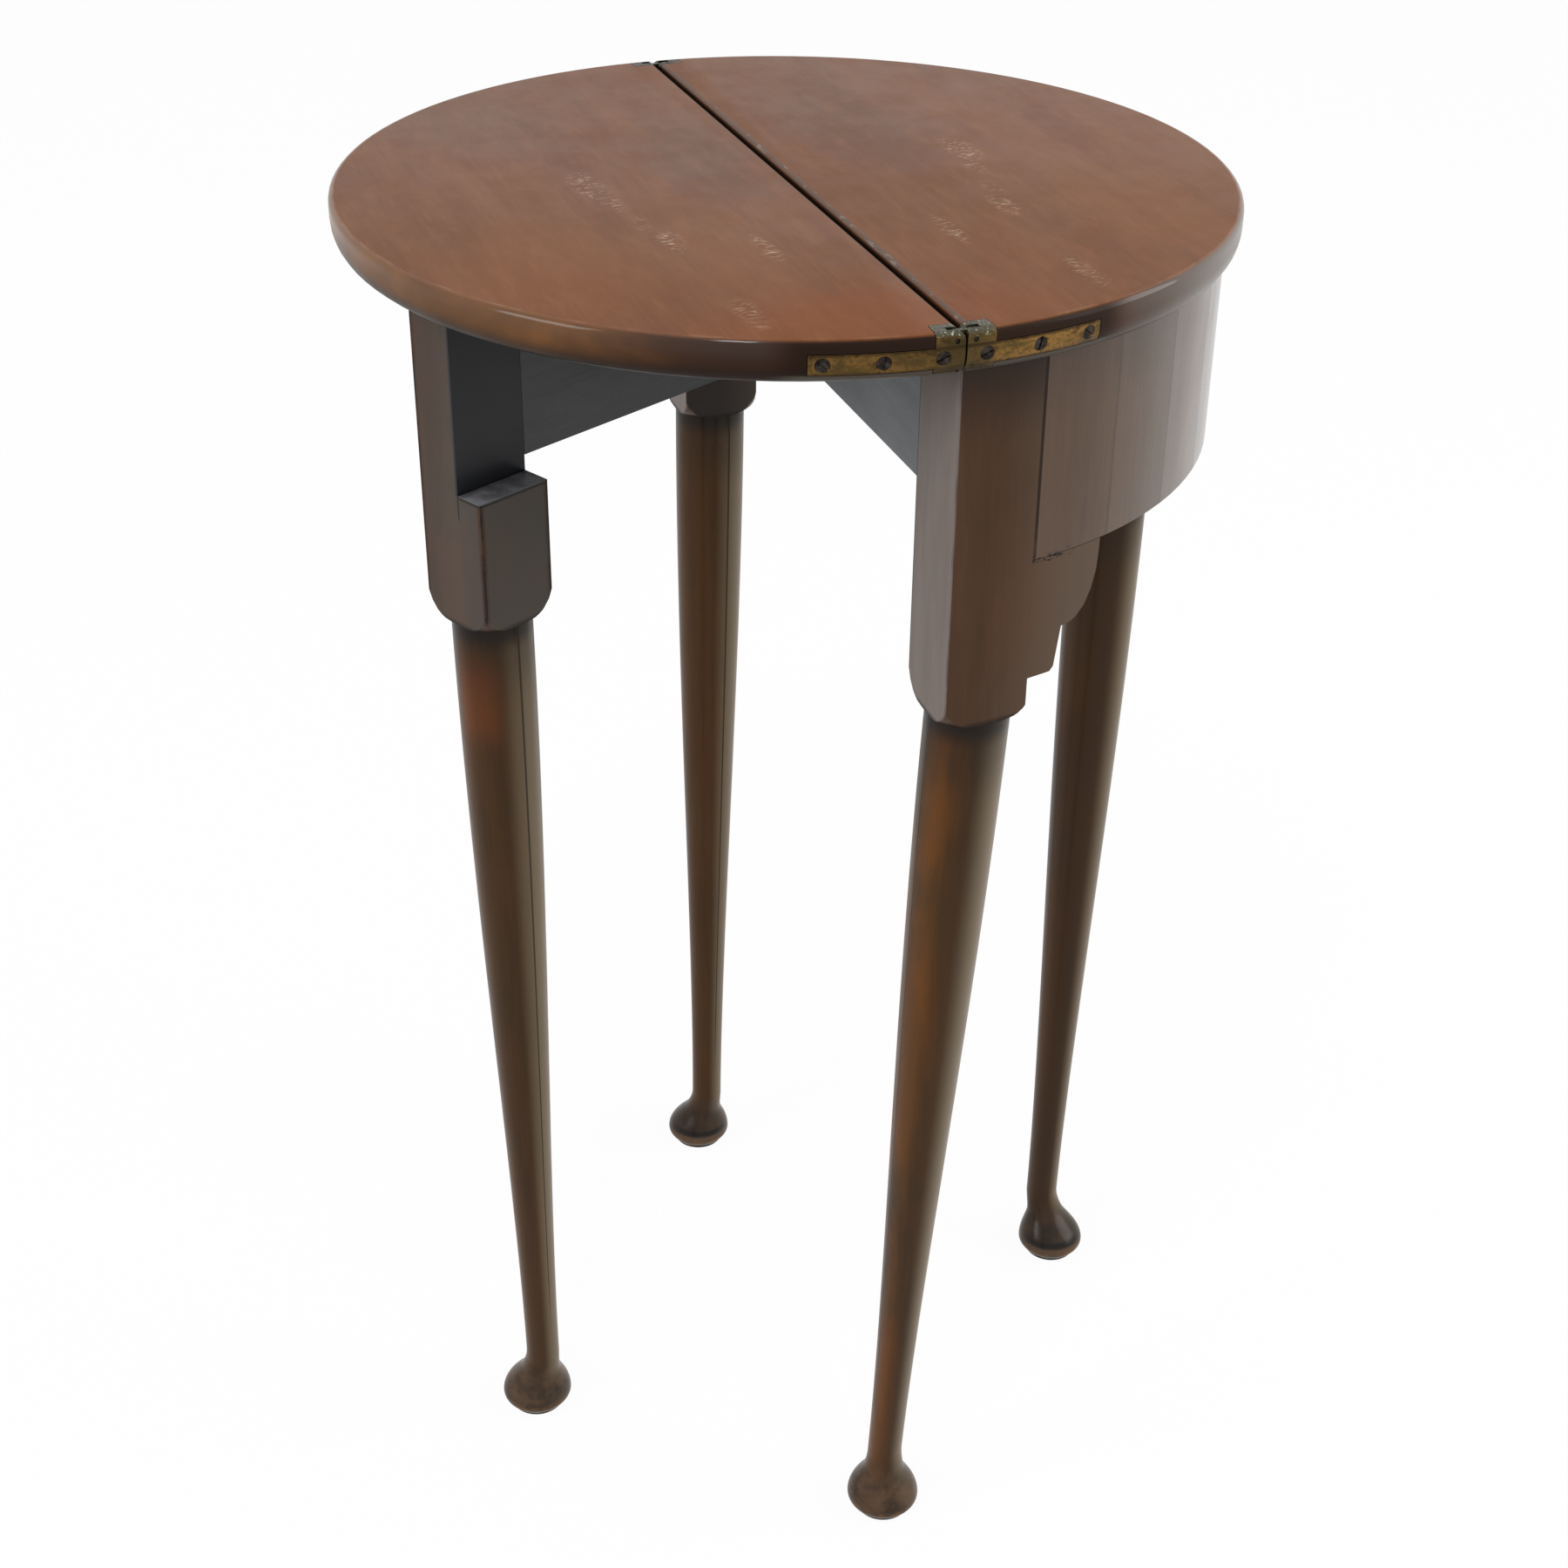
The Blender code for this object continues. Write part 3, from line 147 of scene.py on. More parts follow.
def add_node(tree: bpy.types.NodeTree, kind: str, inputs: dict[Any, Any] | None = None,
             out: int | str = 0, **settings: Any) -> "Field | None":
    """Adds one node with its settings, values and links.

    Args:
        tree: The node tree that gets the node.
        kind: Blender's name of the node type.
        inputs: Socket name or number against a field to link, a written colour or a value.
        out: Which output to hand back.
        settings: Attributes of the node itself.

    Returns:
        The chosen output as a field, or None where the node has no output.
    """
    node = tree.nodes.new(kind)
    for name, value in settings.items():
        setattr(node, name, value)
    for key, value in (inputs or {}).items():
        if isinstance(value, Field):
            tree.links.new(value.socket, node.inputs[key])
        else:
            node.inputs[key].default_value = linear(value) if isinstance(value, str) else value
    return Field(tree, node.outputs[out]) if len(node.outputs) else None


@dataclass(frozen=True)
class Field:
    """A number, a colour or a place that varies over a surface: one output in a node tree.

    Sums on fields are written as plain sums, and a mask is asked of the field that it
    follows, so that a finish reads as the formula that it is.
    """

    tree: bpy.types.NodeTree
    socket: bpy.types.NodeSocket

    def worked(self, operation: str, *others: Any) -> "Field":
        """Works out one of the sums that have no sign of their own, such as MAXIMUM.

        Args:
            operation: Blender's name of the sum.
            others: The fields or numbers that the sum takes after this field.

        Returns:
            The result.
        """
        values = dict(enumerate((self, *others)))
        return add_node(self.tree, "ShaderNodeMath", values, operation=operation)

    def __add__(self, other: Any) -> "Field":
        """Returns this field plus another field or a number."""
        return self.worked("ADD", other)

    def __sub__(self, other: Any) -> "Field":
        """Returns this field less another field or a number."""
        return self.worked("SUBTRACT", other)

    def __rsub__(self, number: float) -> "Field":
        """Returns a number less this field."""
        return add_node(self.tree, "ShaderNodeMath", {0: number, 1: self}, operation="SUBTRACT")

    def __mul__(self, other: Any) -> "Field":
        """Returns this field times another field or a number."""
        return self.worked("MULTIPLY", other)

    def __abs__(self) -> "Field":
        """Returns this field without its sign."""
        return self.worked("ABSOLUTE")

    def step(self, low: float, high: float, to_low: float = 0.0, to_high: float = 1.0) -> "Field":
        """Goes smoothly from one value to another, by the smooth step t*t*(3-2t).

        Args:
            low: Where in this field it begins.
            high: Where it ends.
            to_low: The value up to low.
            to_high: The value from high on.

        Returns:
            The value at each point.
        """
        spans = {"Value": self, "From Min": low, "From Max": high, "To Min": to_low,
                 "To Max": to_high}
        return add_node(self.tree, "ShaderNodeMapRange", spans, interpolation_type="SMOOTHSTEP")

    def band(self, low: float, high: float, soft: float) -> "Field":
        """Returns 1 where this field lies from low to high; it fades over soft at both ends."""
        return self.step(low - soft, low + soft) * self.step(high - soft, high + soft, 1.0, 0.0)

    def part(self, axis: str) -> "Field":
        """Returns this place's measure along X, Y or Z."""
        return add_node(self.tree, "ShaderNodeSeparateXYZ", {0: self}, out=axis)

    def length(self) -> "Field":
        """Returns the length of this place's vector."""
        return add_node(self.tree, "ShaderNodeVectorMath", {0: self}, "Value", operation="LENGTH")

    def blend(self, below: Any, above: Any) -> "Field":
        """Mixes two tones, fields or written colours: below where this field is 0, above at 1."""
        values = {MIX_SHARE: self, MIX_BELOW: below, MIX_ABOVE: above}
        return add_node(self.tree, "ShaderNodeMix", values, MIX_RESULT, data_type="RGBA")

    def painted(self, colour: Any, *shares: Any) -> "Field":
        """Lays another tone over this one.

        Args:
            colour: The upper tone, a field or a written colour.
            shares: Fields from 0 to 1, and numbers after them; their product is how much of
                it shows.

        Returns:
            The new tone.
        """
        values = {MIX_SHARE: reduce(mul, shares), MIX_BELOW: self, MIX_ABOVE: colour}
        return add_node(self.tree, "ShaderNodeMix", values, MIX_RESULT, data_type="RGBA")


def new_tree(name: str) -> tuple[bpy.types.Material, bpy.types.NodeTree]:
    """Starts an empty node material.

    Args:
        name: The material's name.

    Returns:
        The material and its node tree.
    """
    material = bpy.data.materials.new(name)
    material.use_nodes = True
    material.node_tree.nodes.clear()
    return material, material.node_tree


def close_tree(tree: bpy.types.NodeTree, height: Field, depth_mm: float,
               values: dict[str, Any]) -> None:
    """Ends a material with a bump, a Principled surface and the output.

    Args:
        tree: The node tree.
        height: The surface's own height, from 0 to 1.
        depth_mm: What a height of 1 measures.
        values: The surface's other values, by socket name.
    """
    bump = add_node(tree, "ShaderNodeBump",
                    {"Height": height, "Strength": 0.5, "Distance": depth_mm * MILLIMETRE})
    shader = add_node(tree, "ShaderNodeBsdfPrincipled", {"Normal": bump, **values})
    add_node(tree, "ShaderNodeOutputMaterial", {"Surface": shader})


def coordinates(tree: bpy.types.NodeTree, kind: str = "Object") -> Field:
    """Returns the UV map, or the Object coordinates, which here are the table's own metres."""
    return add_node(tree, "ShaderNodeTexCoord", out=kind)


def reach_of(place: Field) -> Field:
    """Returns the distance from the table's upright middle line."""
    return add_node(place.tree, "ShaderNodeVectorMath", {0: place, 1: (1.0, 1.0, 0.0)},
                    operation="MULTIPLY").length()


def angle_of(place: Field) -> Field:
    """Returns the angle from the bow's front, alike on both sides: arctan(|x| / -y)."""
    return abs(place.part("X")).worked("ARCTAN2", place.part("Y") * -1.0)


def noise(place: Field, size_mm: tuple[float, float, float], detail: float = 3.0,
          roughness: float = 0.5, distortion: float = 0.0,
          shift: tuple[float, float, float] = (0.0, 0.0, 0.0)) -> Field:
    """Adds a noise whose blots measure size_mm along the three axes.

    Args:
        place: Coordinates in metres.
        size_mm: Length of a blot along X, Y and Z, in millimetres.
        detail: Octaves of finer noise.
        roughness: Strength of the finer octaves.
        distortion: How far the blots curl.
        shift: Offset that gives each use its own part of the noise.

    Returns:
        The noise from 0 to 1.
    """
    scale = tuple(1.0 / (length * MILLIMETRE) for length in size_mm)
    spread = add_node(place.tree, "ShaderNodeMapping",
                      {"Vector": place, "Location": shift, "Scale": scale})
    return add_node(place.tree, "ShaderNodeTexNoise",
                    {"Vector": spread, "Scale": 1.0, "Detail": detail, "Roughness": roughness,
                     "Distortion": distortion})


def blot(place: Field, middle: tuple[float, float], half: tuple[float, float],
         strength: float) -> Field:
    """Draws a soft ellipse on the level plane.

    Args:
        place: Coordinates in metres.
        middle: The ellipse's middle, along X and Y.
        half: Its half sizes, along X and Y.
        strength: Its value in the middle.

    Returns:
        The strength in the middle, fading to 0 a little past the half sizes.
    """
    scale = (1.0 / half[0], 1.0 / half[1], 0.0)
    location = (-middle[0] * scale[0], -middle[1] * scale[1], 0.0)
    spread = add_node(place.tree, "ShaderNodeMapping",
                      {"Vector": place, "Scale": scale, "Location": location})
    return spread.length().step(0.35, 1.1, strength, 0.0)


def shown(tree: bpy.types.NodeTree) -> Field:
    """Tells what is seen from what only lights the table.

    Args:
        tree: The node tree.

    Returns:
        1 for the rays of the camera, a reflection or a glass, and 0 for thrown light.
    """
    camera, glossy, through = (add_node(tree, "ShaderNodeLightPath", out=f"Is {ray} Ray")
                               for ray in ("Camera", "Glossy", "Transmission"))
    return camera.worked("MAXIMUM", glossy.worked("MAXIMUM", through))


@dataclass(frozen=True)
class Wood:
    """An old finished wood: fine pores, faint streaks and clouds under a worn varnish.

    The grain is stretched noise: figure clouds many times longer than wide, streaks about
    1.6 mm wide, and pores drawn 0.6 mm wide, a little coarser than real ones so that they show.
    """

    name: str
    pale: str
    body: str
    deep: str
    stain: str
    grain: Grain = Grain.UPRIGHT
    turn: float = 0.0
    centre: tuple[float, float] = (0.0, 0.0)
    streak_share: float = 0.30
    pore_share: float = 0.22
    stain_share: float = 0.4
    roughness: float = 0.36
    shine: float = 0.16
    varnish: float = 0.10
    varnish_roughness: float = 0.20
    pore_depth_mm: float = 0.05
    seed: float = 0.0

    def sized(self, along: float, across: float) -> tuple[float, float, float]:
        """Returns a blot size with its long way along the grain.

        Args:
            along: Length with the grain, in millimetres.
            across: Length across it, in millimetres.

        Returns:
            The sizes along X, Y and Z.
        """
        size = [across, across, across]
        size[self.grain.value] = along
        return tuple(size)

    def place(self, tree: bpy.types.NodeTree) -> Field:
        """Turns and centres Object coordinates on this piece.

        Args:
            tree: The node tree.

        Returns:
            The place on the piece, its middle at the origin and its length along X.
        """
        cosine, sine = math.cos(self.turn), math.sin(self.turn)
        away = (-self.centre[0] * cosine - self.centre[1] * sine,
                self.centre[0] * sine - self.centre[1] * cosine, 0.0)
        return add_node(tree, "ShaderNodeMapping",
                        {"Vector": coordinates(tree), "Location": away,
                         "Rotation": (0.0, 0.0, -self.turn)})

    def grained(self, place: Field) -> tuple[Field, Field]:
        """Lays figure, streaks, stain and pores over each other.

        Args:
            place: This piece's coordinates.

        Returns:
            The wood's colour and its height for the bump.
        """
        seed = (self.seed, self.seed * 0.7, self.seed * 1.3)
        figure = noise(place, self.sized(190.0, 30.0), 4.0, 0.55, 0.6, seed)
        streak = noise(place, self.sized(48.0, 1.6), 3.0, 0.6, 0.2, seed)
        pore = noise(place, self.sized(7.0, 0.6), 1.0, 0.5, 0.0, seed)
        cloud = noise(place, (70.0, 52.0, 90.0), 3.0, 0.6, 0.4, (seed[1], seed[2], seed[0]))
        tone = figure.step(0.25, 0.72).blend(self.deep, self.body)
        tone = tone.painted(self.pale, streak.step(0.38, 0.78, 0.0, self.streak_share))
        tone = tone.painted(self.stain, cloud.step(0.44, 0.72, 0.0, self.stain_share))
        dark = pore.step(0.54, 0.70, 0.0, self.pore_share)
        return tone.painted(self.deep, dark), streak * 0.4 - dark

    def shaded_and_grimed(self, tone: Field, up: Field, shade: Field) -> Field:
        """Paints shade on a block under the leaf, and darkens it with grime round its foot.

        Args:
            tone: The colour so far.
            up: The height over the floor.
            shade: How dark the painted shade under the leaf is, from 0 to 1.

        Returns:
            The darkened colour.
        """
        grime = up.step(BLOCK_BOTTOM + 0.0003, BLOCK_BOTTOM + 0.0035, 0.8, 0.0)
        # Painted shade under the leaf first, then grime along the block's foot.
        return tone.painted("#201814", shade).painted("#140D09", grime)

    def finished(self, tree: bpy.types.NodeTree, tone: Field, height: Field, dull: Any = 0.0,
                 varnish: Any = None, polish: Any = None) -> None:
        """Closes the material with its varnish.

        Args:
            tree: The node tree.
            tone: The colour.
            height: The bump's height, from 0 to 1.
            dull: Where the varnish is worn off, from 0 to 1.
            varnish: The varnish's weight, where it isn't the same all over.
            polish: The varnish's roughness, where it isn't the same all over.
        """
        haze = noise(coordinates(tree), (26.0, 26.0, 34.0), 4.0, 0.62)
        rough = haze.step(0.3, 0.75, self.roughness - 0.03, self.roughness + 0.05) + dull * 0.30
        close_tree(tree, height, self.pore_depth_mm, {
            "Base Color": tone, "Roughness": rough, "IOR": 1.5, "Specular IOR Level": self.shine,
            "Coat Weight": self.varnish if varnish is None else varnish,
            "Coat Roughness": self.varnish_roughness if polish is None else polish,
            "Coat IOR": 1.5})


@dataclass(frozen=True)
class PolishedTop(Wood):
    """French-polished mahogany of a leaf, with darker moulded edge, worn arris and scuffs.

    Each scuff is written as x, |y|, half its length, half its width and its strength; each
    cloud as x, y, its two half sizes, its colour and its strength.
    """

    edge: str = "#412511"
    lit_glow: str = "#8E5724"
    worn: str = "#CDB49C"
    hinge_dark: str = "#22130B"
    joint_wear_and_highlight: float = 0.0
    edge_varnish: float = 0.50
    lit_glow_share: float = 0.6
    scuffs: tuple[tuple[float, float, float, float, float], ...] = (
        (0.012, 0.0925, 0.026, 0.0095, 1.0), (-0.014, 0.0885, 0.014, 0.006, 0.7),
        (-0.045, 0.084, 0.014, 0.0055, 0.45), (-0.071, 0.0785, 0.018, 0.0065, 0.95),
        (-0.094, 0.0425, 0.022, 0.0055, 0.95), (-0.163, 0.0755, 0.024, 0.0065, 0.55),
    )
    clouds: tuple[tuple[float, float, float, float, str, float], ...] = (
        (-0.095, 0.135, 0.075, 0.050, "#85532D", 0.45),
        (-0.090, -0.140, 0.080, 0.040, "#82522E", 0.40),
        (-0.185, 0.030, 0.045, 0.090, "#864B24", 0.45),
        (0.035, 0.032, 0.085, 0.035, "#63493C", 0.45),
        (0.070, -0.060, 0.100, 0.045, "#674A3B", 0.40),
        (0.130, 0.120, 0.090, 0.060, "#6A4E40", 0.30),
    )

    def build(self) -> bpy.types.Material:
        """Makes the material: the flat, then the edge, the scuffs, the joint and the varnish.

        Returns:
            The material.
        """
        material, tree = new_tree(self.name)
        place = self.place(tree)
        tone, height = self.grained(place)
        for along, out, half_along, half_out, colour, strength in self.clouds:
            tone = tone.painted(colour, blot(place, (along, out), (half_along, half_out), strength))
        mottle = noise(place, (24.0, 8.0, 10.0), 4.0, 0.6, 0.5, (5.0, 3.0, 1.0))
        tone = tone.painted("#966342", mottle.step(0.46, 0.72, 0.0, 0.20))
        tone = tone.painted("#6A4430", mottle.step(0.28, 0.48, 0.16, 0.0))
        marks = self.scuffed(place)
        tone = self.jointed(place, self.edged(place, tone).painted(self.worn, marks))
        reach, depth, up = reach_of(place), place.part("Y"), place.part("Z")
        rolled = up.step(TABLE_HEIGHT - 0.0100, TABLE_HEIGHT - 0.0035, 0.4 * self.edge_varnish,
                         self.edge_varnish)
        glossy = reach.step(EDGE_REACH, EDGE_REACH + 0.0015) * rolled
        glossy = glossy * (1.0 - self.lower_lip(place, 0.8)) + self.varnish
        glossy = glossy * abs(depth).step(STRAP_END + 0.002, STRAP_END + 0.020, 0.12, 1.0)
        polish = reach.step(EDGE_REACH, EDGE_REACH + 0.0015, self.varnish_roughness, 0.08)
        self.finished(tree, tone, height - marks, marks, glossy, polish)
        return material

    def edged(self, place: Field, tone: Field) -> Field:
        """Darkens the moulded edge, rubs its upper arris, darkens it round the hinges, and paints
        light and shade on it.

        The edge is nearly black above the brass and grey below, within 7 cm of the joint.  On
        the flap it gets painted light towards the side, amber glow patches and a paler flank, and
        painted shade on its lower lip; on the fixed leaf a painted reflection turns it pale grey
        away from the joint.

        Args:
            place: Coordinates of the leaf.
            tone: The flat's colour.

        Returns:
            The colour with the edge laid over it.
        """
        reach, depth, up = reach_of(place), place.part("Y"), place.part("Z")
        # Painted light on the flap's edge towards its side: amber glow patches and a paler flank.
        patch = noise(place, (46.0, 46.0, 30.0), 3.0, 0.6, 0.3, (3.1, 0.4, 2.0))
        lit_glow = patch.step(0.38, 0.72, 0.0, self.lit_glow_share) * depth.step(0.095, 0.150)
        side = lit_glow.blend(self.edge, self.lit_glow)
        side = side.painted("#8A5F38", depth.step(0.105, 0.165, 0.0, 0.40))
        # Painted shade on the flap's lower lip.
        side = side.painted("#0E0704", self.lower_lip(place, 0.85))
        side = side.painted("#241006", depth.step(0.0, 0.001), depth.step(0.085, 0.140, 0.60, 0.0))
        # A painted reflection of the white surround greys the fixed leaf's edge, palest away from
        # the joint.
        side = side.painted("#54443A", depth.step(-0.090, -0.060, 0.85, 0.0))
        side = side.painted("#908983", depth.step(-0.160, -0.078, 1.0, 0.0),
                            up.step(LEAF_UNDERSIDE + 0.0040, TABLE_HEIGHT - 0.0040, 1.0, 0.5))
        # Darker within 8 cm of the joint, round the hinges, and grey at the very bottom there.
        near = abs(depth).step(STRAP_END, STRAP_END + 0.016, 0.85, 0.0)
        side = side.painted(self.hinge_dark, near)
        side = side.painted("#5E564E", near,
                            up.step(LEAF_UNDERSIDE + 0.0030, LEAF_UNDERSIDE + 0.0046, 1.0, 0.0))
        low = up.step(TABLE_HEIGHT - 0.0040, ARRIS_HEIGHT, 1.0, 0.0)
        outside = reach.step(EDGE_REACH + 0.0010, EDGE_REACH + 0.0024).worked("MAXIMUM", low)
        broken = noise(place, (14.0, 14.0, 8.0), 3.0, 0.65, 0.0, (7.0, 1.0, 0.0))
        return tone.painted(side, outside).painted(
            "#BC9674", reach.band(EDGE_REACH + 0.0002, EDGE_REACH + 0.0012, 0.0005),
            broken.step(0.46, 0.70, 0.02, 0.22), up.step(ARRIS_HEIGHT - 0.0010, ARRIS_HEIGHT))

    def lower_lip(self, place: Field, strength: float) -> Field:
        """Returns 0 at the top of the flap's edge and the strength at its lower lip, which gets
        painted shade.
        """
        low, high = LEAF_UNDERSIDE + 0.0010, LEAF_UNDERSIDE + 0.0105
        return place.part("Z").step(low, high, strength, 0.0) * place.part("Y").step(0.0, 0.001)

    def scuffed(self, place: Field) -> Field:
        """Draws the scuffs that the leaves leave on each other when they are folded shut.

        Each scuff is an ellipse on both leaves alike, at x and |y|, filled with broken strokes
        about 6 mm long and 1 mm wide.

        Args:
            place: Coordinates of the leaf.

        Returns:
            How strong the scuffs are, from 0 to 1.
        """
        mirrored = add_node(place.tree, "ShaderNodeCombineXYZ",
                            {"X": place.part("X"), "Y": abs(place.part("Y"))})
        spots = [blot(mirrored, (along, out), (half_along, half_out), strength)
                 for along, out, half_along, half_out, strength in self.scuffs]
        marks = reduce(lambda one, other: one.worked("MAXIMUM", other), spots)
        strokes = noise(place, (1.5, 6.5, 40.0), 2.0, 0.7, 1.2, (1.7, 5.0, 0.0))
        above = place.part("Z").worked("GREATER_THAN", TABLE_HEIGHT - MILLIMETRE)
        return marks * above * strokes.step(0.54, 0.63) * 0.72

    def jointed(self, place: Field, tone: Field) -> Field:
        """Paints shade on the meeting faces in the gap, and greys the fixed leaf's arris beside it:
        partly wear, partly painted highlight.

        Args:
            place: Coordinates of the leaf.
            tone: The leaf's colour.

        Returns:
            The colour with the joint laid over it.
        """
        depth = place.part("Y")
        broken = noise(place, (22.0, 5.0, 5.0), 4.0, 0.65, 0.0, (2.0, 9.0, 0.0))
        arris = depth.band(BACK_FACE - 0.0027, BACK_FACE - 0.0004, 0.0005)
        # Grey along the fixed leaf's arris beside the gap, with pale spots: partly wear, partly
        # painted highlight.
        tone = tone.painted("#665850", arris,
                            broken.step(0.36, 0.58, 0.5 * self.joint_wear_and_highlight, self.joint_wear_and_highlight))
        pale_spots = noise(place, (13.0, 5.0, 5.0), 3.0, 0.6, 0.0, (0.6, 3.0, 0.0))
        tone = tone.painted("#A3978E", arris, pale_spots.step(0.56, 0.66, 0.0, 0.45))
        gap_shade = depth.band(BACK_FACE - 0.0002, 0.0015 - BACK_FACE, 0.0004)
        # Painted shade: the meeting faces go nearly black in the gap.
        return tone.painted("#120D0A", gap_shade, 0.93)


@dataclass(frozen=True)
class FrameWood(Wood):
    """Varnished mahogany of apron, blocks and rails, greyer where a face was never polished.

    Dark glue lines stand upright where the staves meet, at the angles joint_start plus whole
    joint_pitches from the front; a chipped dark line runs along the top of the side legs' ears.
    The inner faces of the side legs' blocks get painted shade, nearly black, and every face but
    the back faces gets painted shade under the leaf.
    joint_pitches from the front; a chipped dark line runs along the top of the side legs' ears.
    """

    back: str = "#6F6560"
    back_share: float = 0.0
    inner_face_shade: float = 0.0
    ear_share: float = 0.0
    first_share: float = 0.0
    first_varnish: float = 0.06
    arris: str = "#23150D"
    joint_start: float = 0.0
    joint_pitch: float = 0.0
    first_joint: float = 0.0
    other_joints: float = 0.0
    under_leaf_shade: float = 0.45

    def build(self) -> bpy.types.Material:
        """Makes the material: back faces, painted shade on the inner faces, ears, chipped corners,
        painted shade under the leaf, grime at the foot, glue lines.

        Returns:
            The material.
        """
        material, tree = new_tree(self.name)
        tone, height = self.grained(self.place(tree))
        world = coordinates(tree)
        depth, up, angle = world.part("Y"), world.part("Z"), angle_of(world)
        behind = depth.step(BACK_FACE - 0.0010, BACK_FACE - 0.0002, 0.0, self.back_share)
        streak = noise(world, (11.0, 11.0, 90.0), 3.0, 0.6, 0.2, (4.0, 2.0, 8.0))
        tone = tone.painted(streak.step(0.3, 0.8).blend(self.back, "#79706A"), behind)
        # Painted shade, nearly black, on the inner faces of the side legs' blocks.
        inner = add_node(tree, "ShaderNodeVectorMath", {0: world}, operation="ABSOLUTE")
        inner_face = APRON_RADIUS - 2.0 * HALF_BLOCK
        inner = inner.part("X").worked("MAXIMUM", inner.part("Y"))
        tone = tone.painted("#262423", inner.step(inner_face + 0.0003, inner_face + 0.0009,
                                                  self.inner_face_shade, 0.0))
        tone = tone.painted("#64574A", angle.step(1.24, 1.46, self.ear_share, 0.0),
                            angle.step(0.9, 1.1))
        tone = tone.painted("#4A3120", angle.step(1.12, 1.34, 0.0, self.first_share))
        chips = noise(world, (9.0, 9.0, 24.0), 4.0, 0.6, 0.0, (1.0, 6.0, 3.0))
        tone = tone.painted(self.arris, depth.step(BACK_FACE - 0.0013, BACK_FACE - 0.0006),
                            reach_of(world).step(APRON_RADIUS - 0.0012, APRON_RADIUS - 0.0005),
                            chips.step(0.40, 0.60, 0.1, 0.4 * self.back_share))
        # Painted shade under the leaf, kept off the back faces.
        shade = up.step(LEAF_UNDERSIDE - 0.041, LEAF_UNDERSIDE, 0.0, self.under_leaf_shade)
        shade = shade * (1.0 - behind)
        lines = self.lines(world)
        tone = self.shaded_and_grimed(tone, up, shade).painted("#1E120B", lines)
        glossy = angle.step(0.95, 1.32, self.varnish, self.first_varnish)
        self.finished(tree, tone, height - lines, behind, glossy)
        return material

    def lines(self, world: Field) -> Any:
        """Draws the dark glue lines between the staves and above the side legs' ears.

        The distance to the nearest joint is a triangle wave of the angle from the front,
        turned into metres on the apron's face.

        Args:
            world: The table's own coordinates.

        Returns:
            The lines' strength, from 0 to 1.
        """
        if not self.joint_pitch:
            return 0.0
        angle, up = angle_of(world), world.part("Z")
        away = (angle - self.joint_start).worked("PINGPONG", self.joint_pitch / 2.0) * APRON_RADIUS
        side = angle.step(self.joint_start + self.joint_pitch * 5.4,
                          self.joint_start + self.joint_pitch * 5.6)
        strength = side.step(0.0, 1.0, self.other_joints, self.first_joint)
        wear = noise(world, (12.0, 12.0, 26.0), 3.0, 0.65, 0.0, (5.0, 1.0, 2.0))
        upright = away.step(0.0003, 0.0011, 1.0, 0.0) * strength * wear.step(0.30, 0.55, 0.35, 1.0)
        upright = upright * up.worked("GREATER_THAN", APRON_BOTTOM - MILLIMETRE)
        chips = noise(world, (3.0, 3.0, 1.6), 3.0, 0.7, 0.0, (8.0, 1.0, 2.0))
        chipped = chips.step(0.44, 0.66, -0.0004, 0.0024)
        level = abs(up - (APRON_BOTTOM - 0.0003)).worked("LESS_THAN", chipped)
        in_ear = angle.worked("LESS_THAN", self.joint_start + self.joint_pitch * 6.02)
        level = level * side * self.first_joint * in_ear
        outer = reach_of(world).step(APRON_RADIUS - 0.0020, APRON_RADIUS - 0.0010)
        return upright.worked("MAXIMUM", level) * outer


